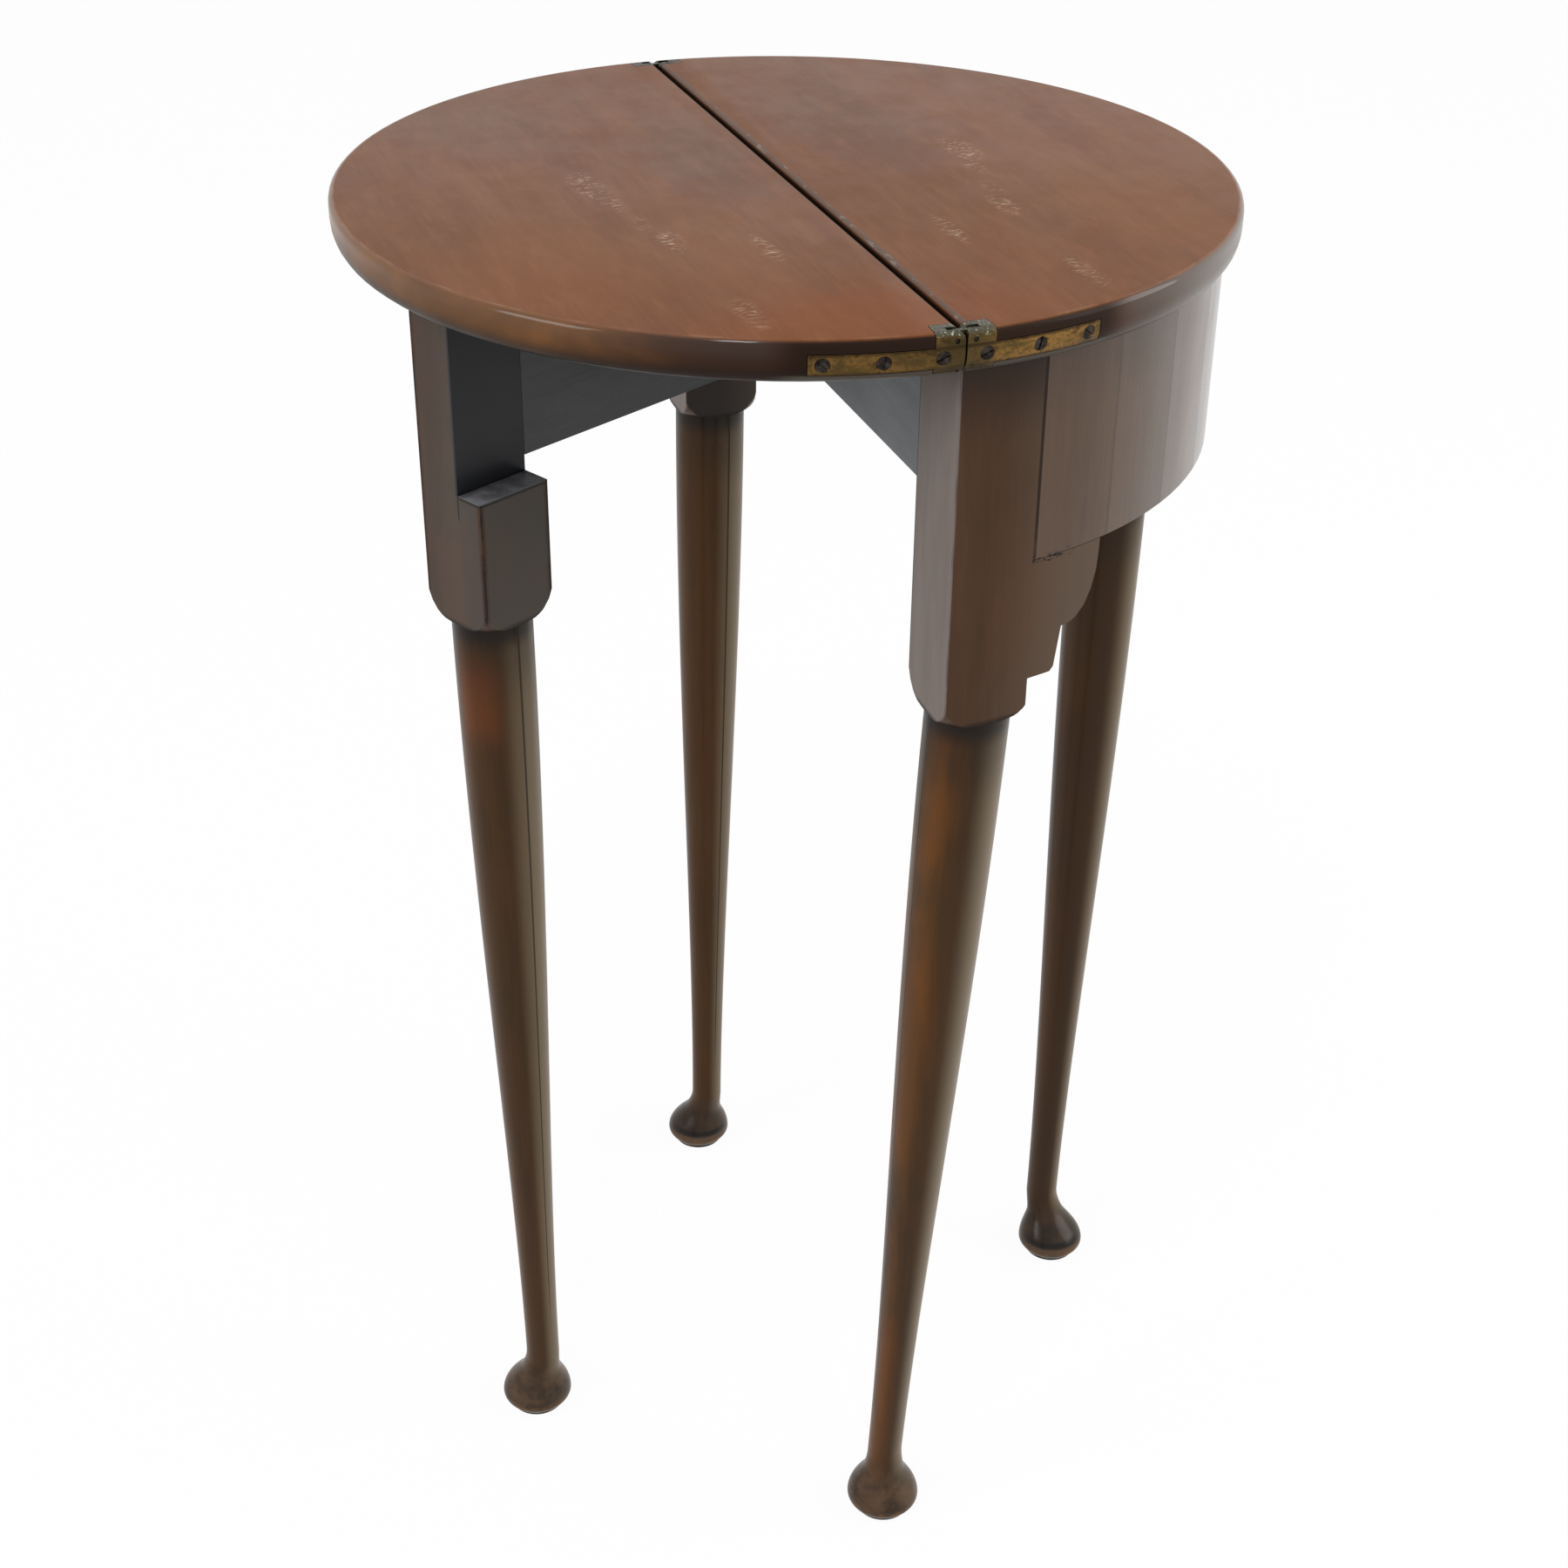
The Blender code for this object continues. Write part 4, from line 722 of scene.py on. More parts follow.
@dataclass(frozen=True)
class GateWood(Wood):
    """The gate leg's square block: brown, rubbed along its arrises, black inside its notch."""

    def build(self) -> bpy.types.Material:
        """Makes the material: its two faces, worn and cracked arrises, the notch, painted shade
        under the leaf and grime at the foot.

        Returns:
            The material.
        """
        material, tree = new_tree(self.name)
        place = self.place(tree)
        tone, height = self.grained(place)
        across, over, up = (place.part(axis) for axis in "XYZ")
        blush = noise(place, (34.0, 34.0, 60.0), 3.0, 0.6, 0.3, (6.0, 3.0, 1.0))
        tone = tone.painted("#64493A", blush.step(0.42, 0.62, 0.0, 0.30))
        tone = tone.painted("#3E3D35", blush.step(0.30, 0.46, 0.5, 0.0))
        skin = (HALF_BLOCK - 0.0006, HALF_BLOCK - 0.0002)
        tone = tone.painted("#57514A", over.step(*skin, 0.0, 0.62))
        end = across.step(*skin)
        tone = tone.painted("#503A2F", end, over.step(-0.012, 0.006, 0.34, 0.0))
        tone = tone.painted("#443D3B", end, over.step(0.000, 0.014, 0.0, 0.55))
        arris = abs(across).worked("MINIMUM", abs(over))
        chips = noise(place, (6.0, 6.0, 14.0), 4.0, 0.7, 0.0, (1.0, 2.0, 3.0))
        tone = tone.painted("#4C2F1B", arris.step(HALF_BLOCK - 0.0032, HALF_BLOCK - 0.0015),
                            chips.step(0.36, 0.56, 0.35, 0.85))
        cracked = arris.step(HALF_BLOCK - 0.0016, HALF_BLOCK - 0.0009)
        cracked = cracked * chips.step(0.50, 0.62, 0.92, 0.3)
        tone = self.notched(place, tone.painted("#150D08", cracked))
        # Painted shade under the leaf.
        shade = up.step(LEAF_UNDERSIDE - 0.031, LEAF_UNDERSIDE, 0.0, 0.30)
        tone = self.shaded_and_grimed(tone, up, shade)
        self.finished(tree, tone, height - cracked)
        return material

    def notched(self, place: Field, tone: Field) -> Field:
        """Blackens the notch, paints shade at its foot, dusts its ledge grey and darkens the saw
        cut in its corner.

        Args:
            place: Coordinates of the block.
            tone: The block's colour.

        Returns:
            The colour with the notch laid over it.
        """
        over, up = place.part("Y"), place.part("Z")
        above = up.step(LEDGE_HEIGHT - 0.0004, LEDGE_HEIGHT + 0.0002)
        notch = above * over.band(NOTCH_FACE - 0.0012, NOTCH_FACE + 0.0006, 0.0004)
        tone = tone.painted("#34363A", notch, 0.92)
        # Painted shade at the foot of the notch, fading up from the ledge.
        tone = tone.painted("#1C1F24", notch, up.step(LEDGE_HEIGHT, LEDGE_HEIGHT + 0.030, 0.55,
                                                      0.0))
        outward = over.step(NOTCH_FACE, NOTCH_FACE + 0.001)
        dust = noise(place, (12.0, 12.0, 12.0), 4.0, 0.65).step(0.35, 0.65)
        tone = tone.painted(dust.blend("#666A71", "#9A9EA6"), outward, above, 0.9)
        kerf = (over.band(NOTCH_FACE - 0.0005, NOTCH_FACE + 0.0005, 0.0004)
                * up.band(LEDGE_HEIGHT - 0.012, LEDGE_HEIGHT, 0.002))
        lip = up.band(LEDGE_HEIGHT - 0.0018, LEDGE_HEIGHT - 0.0004, 0.0003) * outward * 0.8
        return tone.painted("#0F0B08", kerf.worked("MAXIMUM", lip), 0.9)


@dataclass(frozen=True)
class TurnedWood(Wood):
    """A turned shaft: dark brown varnish, painted light and shade round it, a hairline down it.

    Its pattern follows the shaft's own UV map: u goes once round, v is the height.  Amber
    patches of the wood lie only on the side towards the key and left lamps, so they are also
    painted light; a pale painted sheen lies on the side towards the right lamp, and a painted
    shaded band on the side towards the camera.  The pad is darker, with a painted shadow in the
    cove above its bead, a painted highlight on the bead, and a rim that is worn to orange wood.
    Painted shadow darkens the shaft under its block.
    """

    lit_amber: str = "#7C4711"
    lit_amber_angle: float = 130.0
    lit_amber_share: float = 0.7
    painted_sheen: str = "#8A7D66"
    painted_sheen_angle: float = 238.0
    painted_sheen_share: float = 0.62
    shaded_band_angle: float = 152.0
    shaded_band_share: float = 0.45
    hairline_angle: float = 200.0
    hairline_share: float = 0.8
    copper_angle: float = 140.0
    copper_share: float = 0.0
    front_angle: float = 165.0
    cove_shading_share: float = 0.0
    deep_share: float = 0.0
    pad_share: float = 0.0
    copper_heights: tuple[float, float] = (0.452, 0.494)
    foot_heights: tuple[float, float] = (0.018, 0.042)
    cove_shadow_heights: tuple[float, float] = (0.0121, 0.0150)
    bead_highlight_heights: tuple[float, float] = (0.0070, 0.0112)
    rim_heights: tuple[float, float] = (0.0022, 0.0088)

    def build(self) -> bpy.types.Material:
        """Makes the material: the colours and painted light round the shaft, then the pad, painted
        shadow under the block and a dark sole.

        Returns:
            The material.
        """
        material, tree = new_tree(self.name)
        place = self.place(tree)
        tone, height = self.grained(place)
        up = place.part("Z")
        turn = coordinates(tree, "UV").part("X") * (2.0 * math.pi)
        patch = noise(place, (26.0, 26.0, 120.0), 3.0, 0.55, 0.5, (self.seed, 4.0, self.seed))
        tone = tone.painted(self.deep, self.deep_share)
        # Amber patches, only on the side towards the key and left lamps: wood colour and painted
        # light.
        tone = tone.painted(self.lit_amber, facing(turn, self.lit_amber_angle, 0.55, 0.98),
                            patch.step(0.38, 0.62, 0.0, self.lit_amber_share))
        tone = tone.painted("#7E4218", facing(turn, self.copper_angle, 0.72, 1.0),
                            up.band(*self.copper_heights, 0.012), self.copper_share)
        # A painted shaded band on the side towards the camera.
        tone = tone.painted("#2E1C0A", facing(turn, self.shaded_band_angle, 0.70, 0.98),
                            self.shaded_band_share)
        # A pale painted sheen on the side towards the right lamp, standing for its reflection.
        tone = tone.painted(self.painted_sheen, facing(turn, self.painted_sheen_angle, 0.36, 1.0),
                            self.painted_sheen_share)
        mottle = noise(place, (15.0, 15.0, 11.0), 4.0, 0.6, 0.3, (self.seed, 1.0, 2.0))
        pad = mottle.step(0.32, 0.68).blend("#2B1E13", "#5B4532")
        pad = pad.painted("#160E08", self.pad_share)
        tone = tone.painted(pad, up.step(*self.foot_heights, 0.88, 0.0))
        line = facing(turn, self.hairline_angle, 0.9990, 0.9999)
        line = line * up.step(0.05, 0.10, 0.0, self.hairline_share)
        tone = tone.painted("#1A110B", line)
        # On the pad's side towards the camera: a painted highlight on the bead, a painted shadow in
        # the cove above it.
        front = facing(turn, self.front_angle, 0.1, 0.9)
        for colour, heights in (("#5E4837", self.bead_highlight_heights), ("#0E0A07", self.cove_shadow_heights)):
            tone = tone.painted(colour, up.band(*heights, 0.0008), front, self.cove_shading_share)
        worn = noise(place, (6.0, 6.0, 4.0), 4.0, 0.7, 0.0, (2.0, 2.0, self.seed))
        rim = up.band(*self.rim_heights, 0.0020) * worn.step(0.45, 0.62, 0.06, 0.75)
        tone = tone.painted("#7E5A2E", rim)
        # Painted shadow on the top of the shaft, under its block.
        tone = tone.painted("#20150D", up.step(BLOCK_BOTTOM - 0.050, BLOCK_BOTTOM - 0.010, 0.0,
                                               0.40))
        # The lowest 1.6 mm of the sole go nearly black, and a painted shadow blackens the shaft
        # just under its block.
        sole = up.step(0.0003, 0.0016, 0.9, 0.0)
        block_shadow = up.step(BLOCK_BOTTOM - 0.0140, BLOCK_BOTTOM - 0.0020, 0.0, 0.85)
        tone = tone.painted("#120C08", sole.worked("MAXIMUM", block_shadow))
        glossy = up.step(*self.foot_heights, 0.22, self.varnish) * up.step(0.0010, 0.0050)
        self.finished(tree, tone, height - line, rim, glossy)
        return material


def facing(turn: Field, degrees: float, low: float, high: float) -> Field:
    """Finds the side of a shaft that faces one way, by the cosine of the angle to it.

    Args:
        turn: The angle round the shaft, in radians.
        degrees: The angle of the side.
        low: The cosine at which the side begins.
        high: The cosine from which it is full.

    Returns:
        1 on that side, fading to 0.
    """
    return (turn - math.radians(degrees)).worked("COSINE").step(low, high)


@dataclass(frozen=True)
class AgedBrass:
    """Sand-cast brass, filed flat, dull yellow where it is rubbed and brown-black in between."""

    name: str = "aged brass"
    bright: str = "#9C7440"
    dull: str = "#65502C"
    tarnish: str = "#2A2318"
    bloom: str = "#50544A"
    dent_mm: float = 0.08

    def build(self) -> bpy.types.Material:
        """Makes the material: blotches, dirt at the joint and the edges, a dull flat top.

        Returns:
            The material.
        """
        material, tree = new_tree(self.name)
        place = coordinates(tree)
        along, depth, up = (place.part(axis) for axis in "XYZ")
        patch = noise(place, (8.0, 8.0, 5.0), 4.0, 0.65, 0.4)
        speck = noise(place, (1.4, 1.4, 1.4), 3.0, 0.7, 0.0, (0.3, 0.0, 0.9))
        file_marks = noise(place, (6.0, 6.0, 0.5), 2.0, 0.6)
        tone = patch.step(0.36, 0.62).blend(self.dull, self.bright)
        tone = tone.painted(self.tarnish, patch.step(0.50, 0.68, 0.0, 0.8))
        tone = tone.painted(self.tarnish, speck.step(0.52, 0.70, 0.0, 0.6))
        tone = tone.painted("#3D3826", abs(depth).step(0.006, 0.018, 0.65, 0.0))
        grime = noise(place, (18.0, 18.0, 9.0), 3.0, 0.6, 0.0, (6.0, 2.0, 0.0))
        tone = tone.painted("#4A3F28", grime.step(0.42, 0.62, 0.0, 0.6))
        edge = up.step(LEAF_UNDERSIDE + 0.0042, LEAF_UNDERSIDE + 0.0052, 0.7, 0.0)
        line = up.band(TABLE_HEIGHT - 0.0070, TABLE_HEIGHT - 0.0055, 0.0006)
        tone = tone.painted(self.tarnish, edge.worked("MAXIMUM", line), 0.7)
        tone = tone.painted("#3A2E1A", depth.step(-0.001, 0.001, 0.0, 0.40))
        far = along.step(-0.1, 0.1)
        tone = tone.painted(far.blend(self.bloom, "#22231D"),
                            up.step(TABLE_HEIGHT - 0.0020, TABLE_HEIGHT - 0.0008, 0.0, 0.7))
        glint = up.step(TABLE_HEIGHT - 0.0035, TABLE_HEIGHT - 0.0010)
        tone = tone.painted("#B9B49A", glint, speck.step(0.34, 0.42, 1.0, 0.0),
                            far.step(0.0, 1.0, 1.0, 0.1))
        close_tree(tree, file_marks + speck, self.dent_mm,
                   {"Base Color": tone, "Metallic": 1.0,
                    "Roughness": patch.step(0.35, 0.70, 0.30, 0.58)})
        return material


@dataclass(frozen=True)
class BluedSteel:
    """Old wrought screws and pins: nearly black, with rust in their slots."""

    name: str = "dark steel screws"
    clean: str = "#423D38"
    dark: str = "#1E1A17"
    rust: str = "#3F281A"
    dent_mm: float = 0.08

    def build(self) -> bpy.types.Material:
        """Makes the material.

        Returns:
            The material.
        """
        material, tree = new_tree(self.name)
        place = coordinates(tree)
        patch = noise(place, (2.4, 2.4, 2.4), 3.0, 0.65)
        fine = noise(place, (0.6, 0.6, 0.6), 2.0, 0.6, 0.0, (1.0, 1.0, 0.0))
        tone = patch.step(0.42, 0.62).blend(self.dark, self.clean)
        tone = tone.painted(self.rust, fine.step(0.52, 0.68, 0.0, 0.7))
        close_tree(tree, fine, self.dent_mm,
                   {"Base Color": tone, "Metallic": 0.85,
                    "Roughness": patch.step(0.3, 0.7, 0.42, 0.66)})
        return material


@dataclass(frozen=True)
class PaperSweep:
    """Matt paper under the table: white to the camera, and grey to the light it throws back."""

    name: str = "white paper sweep"
    paper: str = "#FFFFFF"
    thrown: str = "#D2D1CF"
    lift: float = 0.95

    def build(self) -> bpy.types.Material:
        """Makes the material.

        Returns:
            The material.
        """
        material, tree = new_tree(self.name)
        fibre = noise(coordinates(tree), (3.0, 3.0, 3.0), 3.0, 0.6).step(0.3, 0.7)
        seen = shown(tree)
        tone = seen.blend(self.thrown, fibre.blend(self.paper, "#FCFCFC"))
        matt = add_node(tree, "ShaderNodeBsdfDiffuse", {"Color": tone, "Roughness": 0.6})
        lit = add_node(tree, "ShaderNodeEmission", {"Color": self.paper, "Strength": 1.0})
        floor = add_node(tree, "ShaderNodeMixShader", {0: seen * self.lift, 1: matt, 2: lit})
        add_node(tree, "ShaderNodeOutputMaterial", {"Surface": floor})
        return material


def points_of(mesh: bpy.types.Mesh) -> np.ndarray:
    """Reads a mesh's vertices.

    Args:
        mesh: The mesh.

    Returns:
        Rows of x, y and z.
    """
    points = np.empty(len(mesh.vertices) * 3)
    mesh.vertices.foreach_get("co", points)
    return points.reshape(-1, 3)


def dressed(piece: bpy.types.Object, material: bpy.types.Material) -> None:
    """Puts one material in every slot of a piece, and reports the piece.

    Args:
        piece: The piece or CAD node.
        material: Its material.
    """
    slots = piece.data.materials
    for place in range(len(slots)):
        slots[place] = material
    if not len(slots):
        slots.append(material)
    LOG.info("%s: %s, %d faces", piece.name, material.name, len(piece.data.polygons))


def linked(name: str, data: Any) -> bpy.types.Object:
    """Puts a mesh, a lamp or a camera in the scene as an object at the origin.

    Args:
        name: The new object's name.
        data: What it shows.

    Returns:
        The object.
    """
    piece = bpy.data.objects.new(name, data)
    bpy.context.scene.collection.objects.link(piece)
    return piece


def smoothed(mesh: bpy.types.Mesh, angle: float) -> bpy.types.Mesh:
    """Shades a mesh smooth, with its corners over an angle kept crisp.

    Args:
        mesh: The mesh.
        angle: The least corner angle that stays crisp, in radians.

    Returns:
        The same mesh.
    """
    mesh.shade_smooth()
    mesh.set_sharp_from_angle(angle=angle)
    return mesh


def welded_copy(node: str, name: str, body: str, above: float | None = None) -> bpy.types.Object:
    """Makes a smooth copy of a CAD node and lets it stand for that node.

    The loose triangles' corners are rounded to 0.002 mm and matched, so that equal ones become
    one vertex; a triangle that loses a corner is dropped.

    Args:
        node: The CAD node's name.
        name: The new piece's name.
        body: The CAD body that it rides on.
        above: If given, only faces that reach over this height are kept.

    Returns:
        The new piece.
    """
    source = frame["nodes"][node].data
    source.calc_loop_triangles()
    faces = np.empty(len(source.loop_triangles) * 3, dtype=np.int64)
    source.loop_triangles.foreach_get("vertices", faces)
    points = points_of(source)
    keys = np.round(points / WELD).astype(np.int64)
    _, first, back = np.unique(keys, axis=0, return_index=True, return_inverse=True)
    points = points[first]
    faces = back.reshape(-1)[faces.reshape(-1, 3)]
    faces = faces[(faces != np.roll(faces, -1, axis=1)).all(axis=1)]
    if above is not None:
        faces = faces[points[faces][:, :, 2].max(axis=1) > above]
    mesh = bpy.data.meshes.new(name)
    mesh.from_pydata(points, [], faces)
    mesh.validate()
    piece = linked(name, smoothed(mesh, SHARP_ANGLE))
    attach(piece, body)
    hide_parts(node)
    return piece


def surface(name: str, points: np.ndarray, uv: np.ndarray) -> bpy.types.Mesh:
    """Makes a closed-round surface from a grid of points.

    Args:
        name: The mesh's name.
        points: Rows by columns by 3; each row is one ring, from the top down, without repeat.
        uv: Rows by columns-plus-one by 2, the map of the same grid.

    Returns:
        The mesh, with its two end rings closed by fans.
    """
    rows, columns, _ = points.shape
    index = np.arange(rows * columns).reshape(rows, columns)
    beside = np.roll(index, -1, axis=1)
    quads = np.stack([index[:-1], index[1:], beside[1:], beside[:-1]], axis=-1).reshape(-1, 4)
    quad_uv = np.stack([uv[:-1, :-1], uv[1:, :-1], uv[1:, 1:], uv[:-1, 1:]], axis=2)
    top, bottom = rows * columns, rows * columns + 1
    vertices = np.vstack([points.reshape(-1, 3), points[0].mean(axis=0), points[-1].mean(axis=0)])
    lid = np.stack([np.full(columns, top), index[0], beside[0]], axis=-1)
    base = np.stack([np.full(columns, bottom), beside[-1], index[-1]], axis=-1)
    mesh = bpy.data.meshes.new(name)
    mesh.from_pydata(vertices, [], quads.tolist() + lid.tolist() + base.tolist())
    layer = mesh.uv_layers.new(name="round and up")
    flat = np.concatenate([quad_uv.reshape(-1, 2), np.tile(uv[0, :1], (3 * columns, 1)),
                           np.tile(uv[-1, :1], (3 * columns, 1))])
    layer.data.foreach_set("uv", flat.astype(np.float32).ravel())
    return smoothed(mesh, SHAFT_SHARP_ANGLE)


@dataclass
class TurnedShaft:
    """One turned leg below its block: tapering shaft, ankle and pad foot.

    The surface is radius(height) about a middle line that leans: at height z the ring's
    middle is axis + shift(z), where shift runs straight from nothing at the block to the
    ankle's offset, and then in an S curve to the pad's.  The first ring is hidden: it closes
    the shaft inside the block.
    """

    side: Side
    axis: tuple[float, float]
    ankle: tuple[float, float]
    pad: tuple[float, float]
    body: str
    top_radius: float = 0.0193
    hidden_share: float = 0.6
    hidden_rise: float = 0.003
    ankle_radius: float = 0.0092
    ankle_height: float = 0.040
    pad_radius: float = 0.0195
    rim_height: float = 0.008
    swell: float = 0.9
    columns: int = 96
    shaft_rings: int = 90
    pad_rings: int = 60
    crisp_rings: int = 4
    pad_shares: tuple[tuple[float, float], ...] = (
        (1.0, 0.0), (0.87, 0.02), (0.75, 0.08), (0.66, 0.16), (0.60, 0.26), (0.525, 0.44),
        (0.45, 0.63), (0.39, 0.77), (0.325, 0.89), (0.26, 0.97), (0.20, 1.0), (0.16, 0.98),
        (0.125, 0.90), (0.075, 0.74), (0.0625, 0.62), (0.0, 0.56),
    )

    def radii(self) -> tuple[np.ndarray, np.ndarray]:
        """Works out the ring radii.

        The shaft's radius falls from top_radius to ankle_radius by the smooth step
        t*t*(3-2t) of (1 - share) ** swell; the pad's follows its table of height and radius
        shares, joined by straight runs that a short moving average rounds off down to the
        crisp rings at the sole.

        Returns:
            Heights and radii, from the block down to the sole.
        """
        share = np.linspace(0.0, 1.0, self.shaft_rings)
        heights = BLOCK_BOTTOM + (self.ankle_height - BLOCK_BOTTOM) * share
        step = (1.0 - share) ** self.swell
        step = step * step * (3.0 - 2.0 * step)
        radii = self.ankle_radius + (self.top_radius - self.ankle_radius) * step
        table = np.array(self.pad_shares[::-1])
        low = np.linspace(1.0, 0.0, self.pad_rings + 1)[1:]
        sharp = np.interp(low, table[:, 0], table[:, 1])
        rounded = np.convolve(np.pad(sharp, 1, mode="edge"), [0.25, 0.5, 0.25], mode="valid")
        rounded[-self.crisp_rings:] = sharp[-self.crisp_rings:]
        pad_radii = self.ankle_radius + (self.pad_radius - self.ankle_radius) * rounded
        heights = [[BLOCK_BOTTOM + self.hidden_rise], heights, self.ankle_height * low]
        radii = [[self.hidden_share * self.top_radius], radii, pad_radii]
        return np.concatenate(heights), np.concatenate(radii)

    def shift(self, heights: np.ndarray) -> np.ndarray:
        """Works out the lean.

        Args:
            heights: The rings' heights.

        Returns:
            How far each ring's middle stands off the leg's axis, along X and Y.
        """
        ankle, pad = np.array(self.ankle), np.array(self.pad)
        fall = np.clip((BLOCK_BOTTOM - heights) / (BLOCK_BOTTOM - self.ankle_height), 0.0, 1.0)
        share = np.clip((self.ankle_height - heights) / (self.ankle_height - self.rim_height),
                        0.0, 1.0)
        step = share * share * (3.0 - 2.0 * share)
        return fall[:, None] * ankle + step[:, None] * (pad - ankle)

    def build(self) -> bpy.types.Object:
        """Builds the shaft, its rings turned to the left as they are seen from above.

        Returns:
            The shaft, undressed.
        """
        heights, radii = self.radii()
        angles = np.linspace(0.0, 2.0 * math.pi, self.columns, endpoint=False)
        middle = np.array(self.axis) + self.shift(heights)
        x = middle[:, :1] + radii[:, None] * np.cos(angles)
        y = middle[:, 1:] + radii[:, None] * np.sin(angles)
        z = np.broadcast_to(heights[:, None], x.shape)
        u = np.linspace(0.0, 1.0, self.columns + 1)
        uv = np.stack(np.broadcast_arrays(u[None, :], heights[:, None]), axis=-1)
        mesh = surface("shaft", np.stack([x, y, z], axis=-1), uv)
        return linked(f"turned_shaft_{self.side.value}", mesh)


@dataclass
class Leaves:
    """The two half-round leaves of the top."""

    top: PolishedTop = PolishedTop(
        "polished mahogany top", "#8F5F3E", "#7F5337", "#70462E", "#6A4936", Grain.LEVEL,
        streak_share=0.22, stain_share=0.22, roughness=0.42, shine=0.08, varnish=0.02,
        varnish_roughness=0.12, joint_wear_and_highlight=0.85)

    def build(self) -> None:
        """Builds both leaves."""
        material = self.top.build()
        for node, body in (("fixed_leaf", "frame"), ("flap_leaf", "flap")):
            dressed(welded_copy(node, f"{node}_polished", body), material)


@dataclass
class Hinges:
    """Brass plates, links, pins and screws of the two link hinges, and the hidden screws."""

    brass: AgedBrass = AgedBrass()
    steel: BluedSteel = BluedSteel()

    def build(self) -> None:
        """Dresses every metal node."""
        brass, steel = self.brass.build(), self.steel.build()
        for node, piece in frame["nodes"].items():
            if node.startswith(("hinge_plate", "hinge_link")):
                dressed(piece, brass)
            elif "screw" in node or "pin" in node:
                dressed(piece, steel)


@dataclass
class BowFrame:
    """The bow apron, the fixed legs' blocks and the rails behind the bow."""

    apron: FrameWood = FrameWood(
        "varnished mahogany apron", "#6C4F35", "#593F27", "#48311C", "#614B36",
        stain_share=0.5, roughness=0.28, shine=0.30, varnish=0.68, varnish_roughness=0.18,
        first_share=0.35, first_varnish=0.30, first_joint=0.86, other_joints=0.42,
        under_leaf_shade=0.30)
    block: FrameWood = FrameWood(
        "varnished mahogany blocks", "#66462F", "#573B28", "#46301F", "#4C3C2E",
        streak_share=0.14, stain_share=0.55, roughness=0.34, shine=0.12, varnish=0.06,
        back="#887D78", back_share=0.92, seed=3.0, inner_face_shade=0.85, ear_share=0.6,
        first_joint=0.95, under_leaf_shade=0.72)
    rail: FrameWood = FrameWood(
        "bare grey oak rail", "#94979B", "#86898D", "#72767A", "#5C6064", Grain.LEVEL,
        roughness=0.60, varnish=0.0, seed=5.0, under_leaf_shade=0.15)
    inside: FrameWood = FrameWood(
        "dusty inside oak", "#8A7458", "#6B5842", "#483A2B", "#5A4C3C", Grain.LEVEL,
        roughness=0.62, varnish=0.0, seed=7.0)
    glue_gap: float = 0.00001

    def joint_angles(self) -> tuple[float, float]:
        """Measures the staves on the two that stand nearest the front.

        Returns:
            The first joint's angle from the front, and the angle from joint to joint.
        """
        angles = []
        for index in (6, 5):
            points = points_of(frame["nodes"][f"bow_stave_left_{index}"].data)
            points = points[np.hypot(points[:, 0], points[:, 1]) > APRON_RADIUS - MILLIMETRE]
            angles.append(np.arctan2(np.abs(points[:, 0]), -points[:, 1]).min())
        return float(angles[0]), float(angles[1] - angles[0])

    def closed(self, piece: bpy.types.Object, pitch: float) -> None:
        """Widens a stave's copy, so that no light shows through its glued joints.

        Each corner's angle from the front goes away from the stave's middle by the share that
        the stave is narrower than the pitch, less the glue gap.

        Args:
            piece: The stave's copy.
            pitch: The angle from one joint to the next.
        """
        points = points_of(piece.data)
        reach = np.hypot(points[:, 0], points[:, 1])
        angle = np.arctan2(points[:, 0], -points[:, 1])
        middle = (angle.min() + angle.max()) / 2.0
        wide = angle.max() - angle.min()
        share = max(1.0, (pitch - self.glue_gap / APRON_RADIUS) / wide)
        angle = middle + (angle - middle) * share
        points[:, 0], points[:, 1] = reach * np.sin(angle), -reach * np.cos(angle)
        piece.data.vertices.foreach_set("co", points.ravel())
        piece.data.update()

    def build(self) -> None:
        """Builds the fixed woodwork."""
        start, pitch = self.joint_angles()
        LOG.info("staves start at %.2f degrees, %.2f degrees each", math.degrees(start),
                 math.degrees(pitch))
        apron, block = (replace(finish, joint_start=start, joint_pitch=pitch).build()
                        for finish in (self.apron, self.block))
        rail, inside = self.rail.build(), self.inside.build()
        for node in list(frame["nodes"]):
            if node.startswith("bow_stave"):
                piece = welded_copy(node, f"{node}_varnished", "frame")
                self.closed(piece, pitch)
                dressed(piece, apron)
            elif node in ("back_rail", "knuckle_rail"):
                dressed(frame["nodes"][node], rail)
            elif node.startswith("fixing_block"):
                dressed(frame["nodes"][node], inside)
        for side in (Side.LEFT, Side.RIGHT, Side.FRONT):
            name = f"leg_{side.value}"
            dressed(welded_copy(name, f"{name}_block", "frame", BLOCK_FACES), block)


@dataclass
class Gate:
    """The swinging gate: rail with its knuckle, and the square block of the gate leg."""

    block: GateWood = GateWood(
        "varnished mahogany gate block", "#635349", "#54483E", "#433A32", "#4C4A41",
        turn=GATE_ANGLE, centre=GATE_AXIS, streak_share=0.12, roughness=0.38, shine=0.14,
        varnish=0.06, seed=9.0)
    rail: FrameWood = FrameWood(
        "dark oak gate rail", "#6C6D6E", "#5F6061", "#4E4F51", "#545556", Grain.LEVEL,
        GATE_ANGLE, GATE_PIVOT, roughness=0.55, varnish=0.0, seed=11.0, under_leaf_shade=0.15)

    def build(self) -> None:
        """Builds the gate's woodwork."""
        dressed(welded_copy("gate_leg", "gate_leg_block", "gate", BLOCK_FACES),
                self.block.build())
        dressed(welded_copy("gate_rail", "gate_rail_dark", "gate"), self.rail.build())


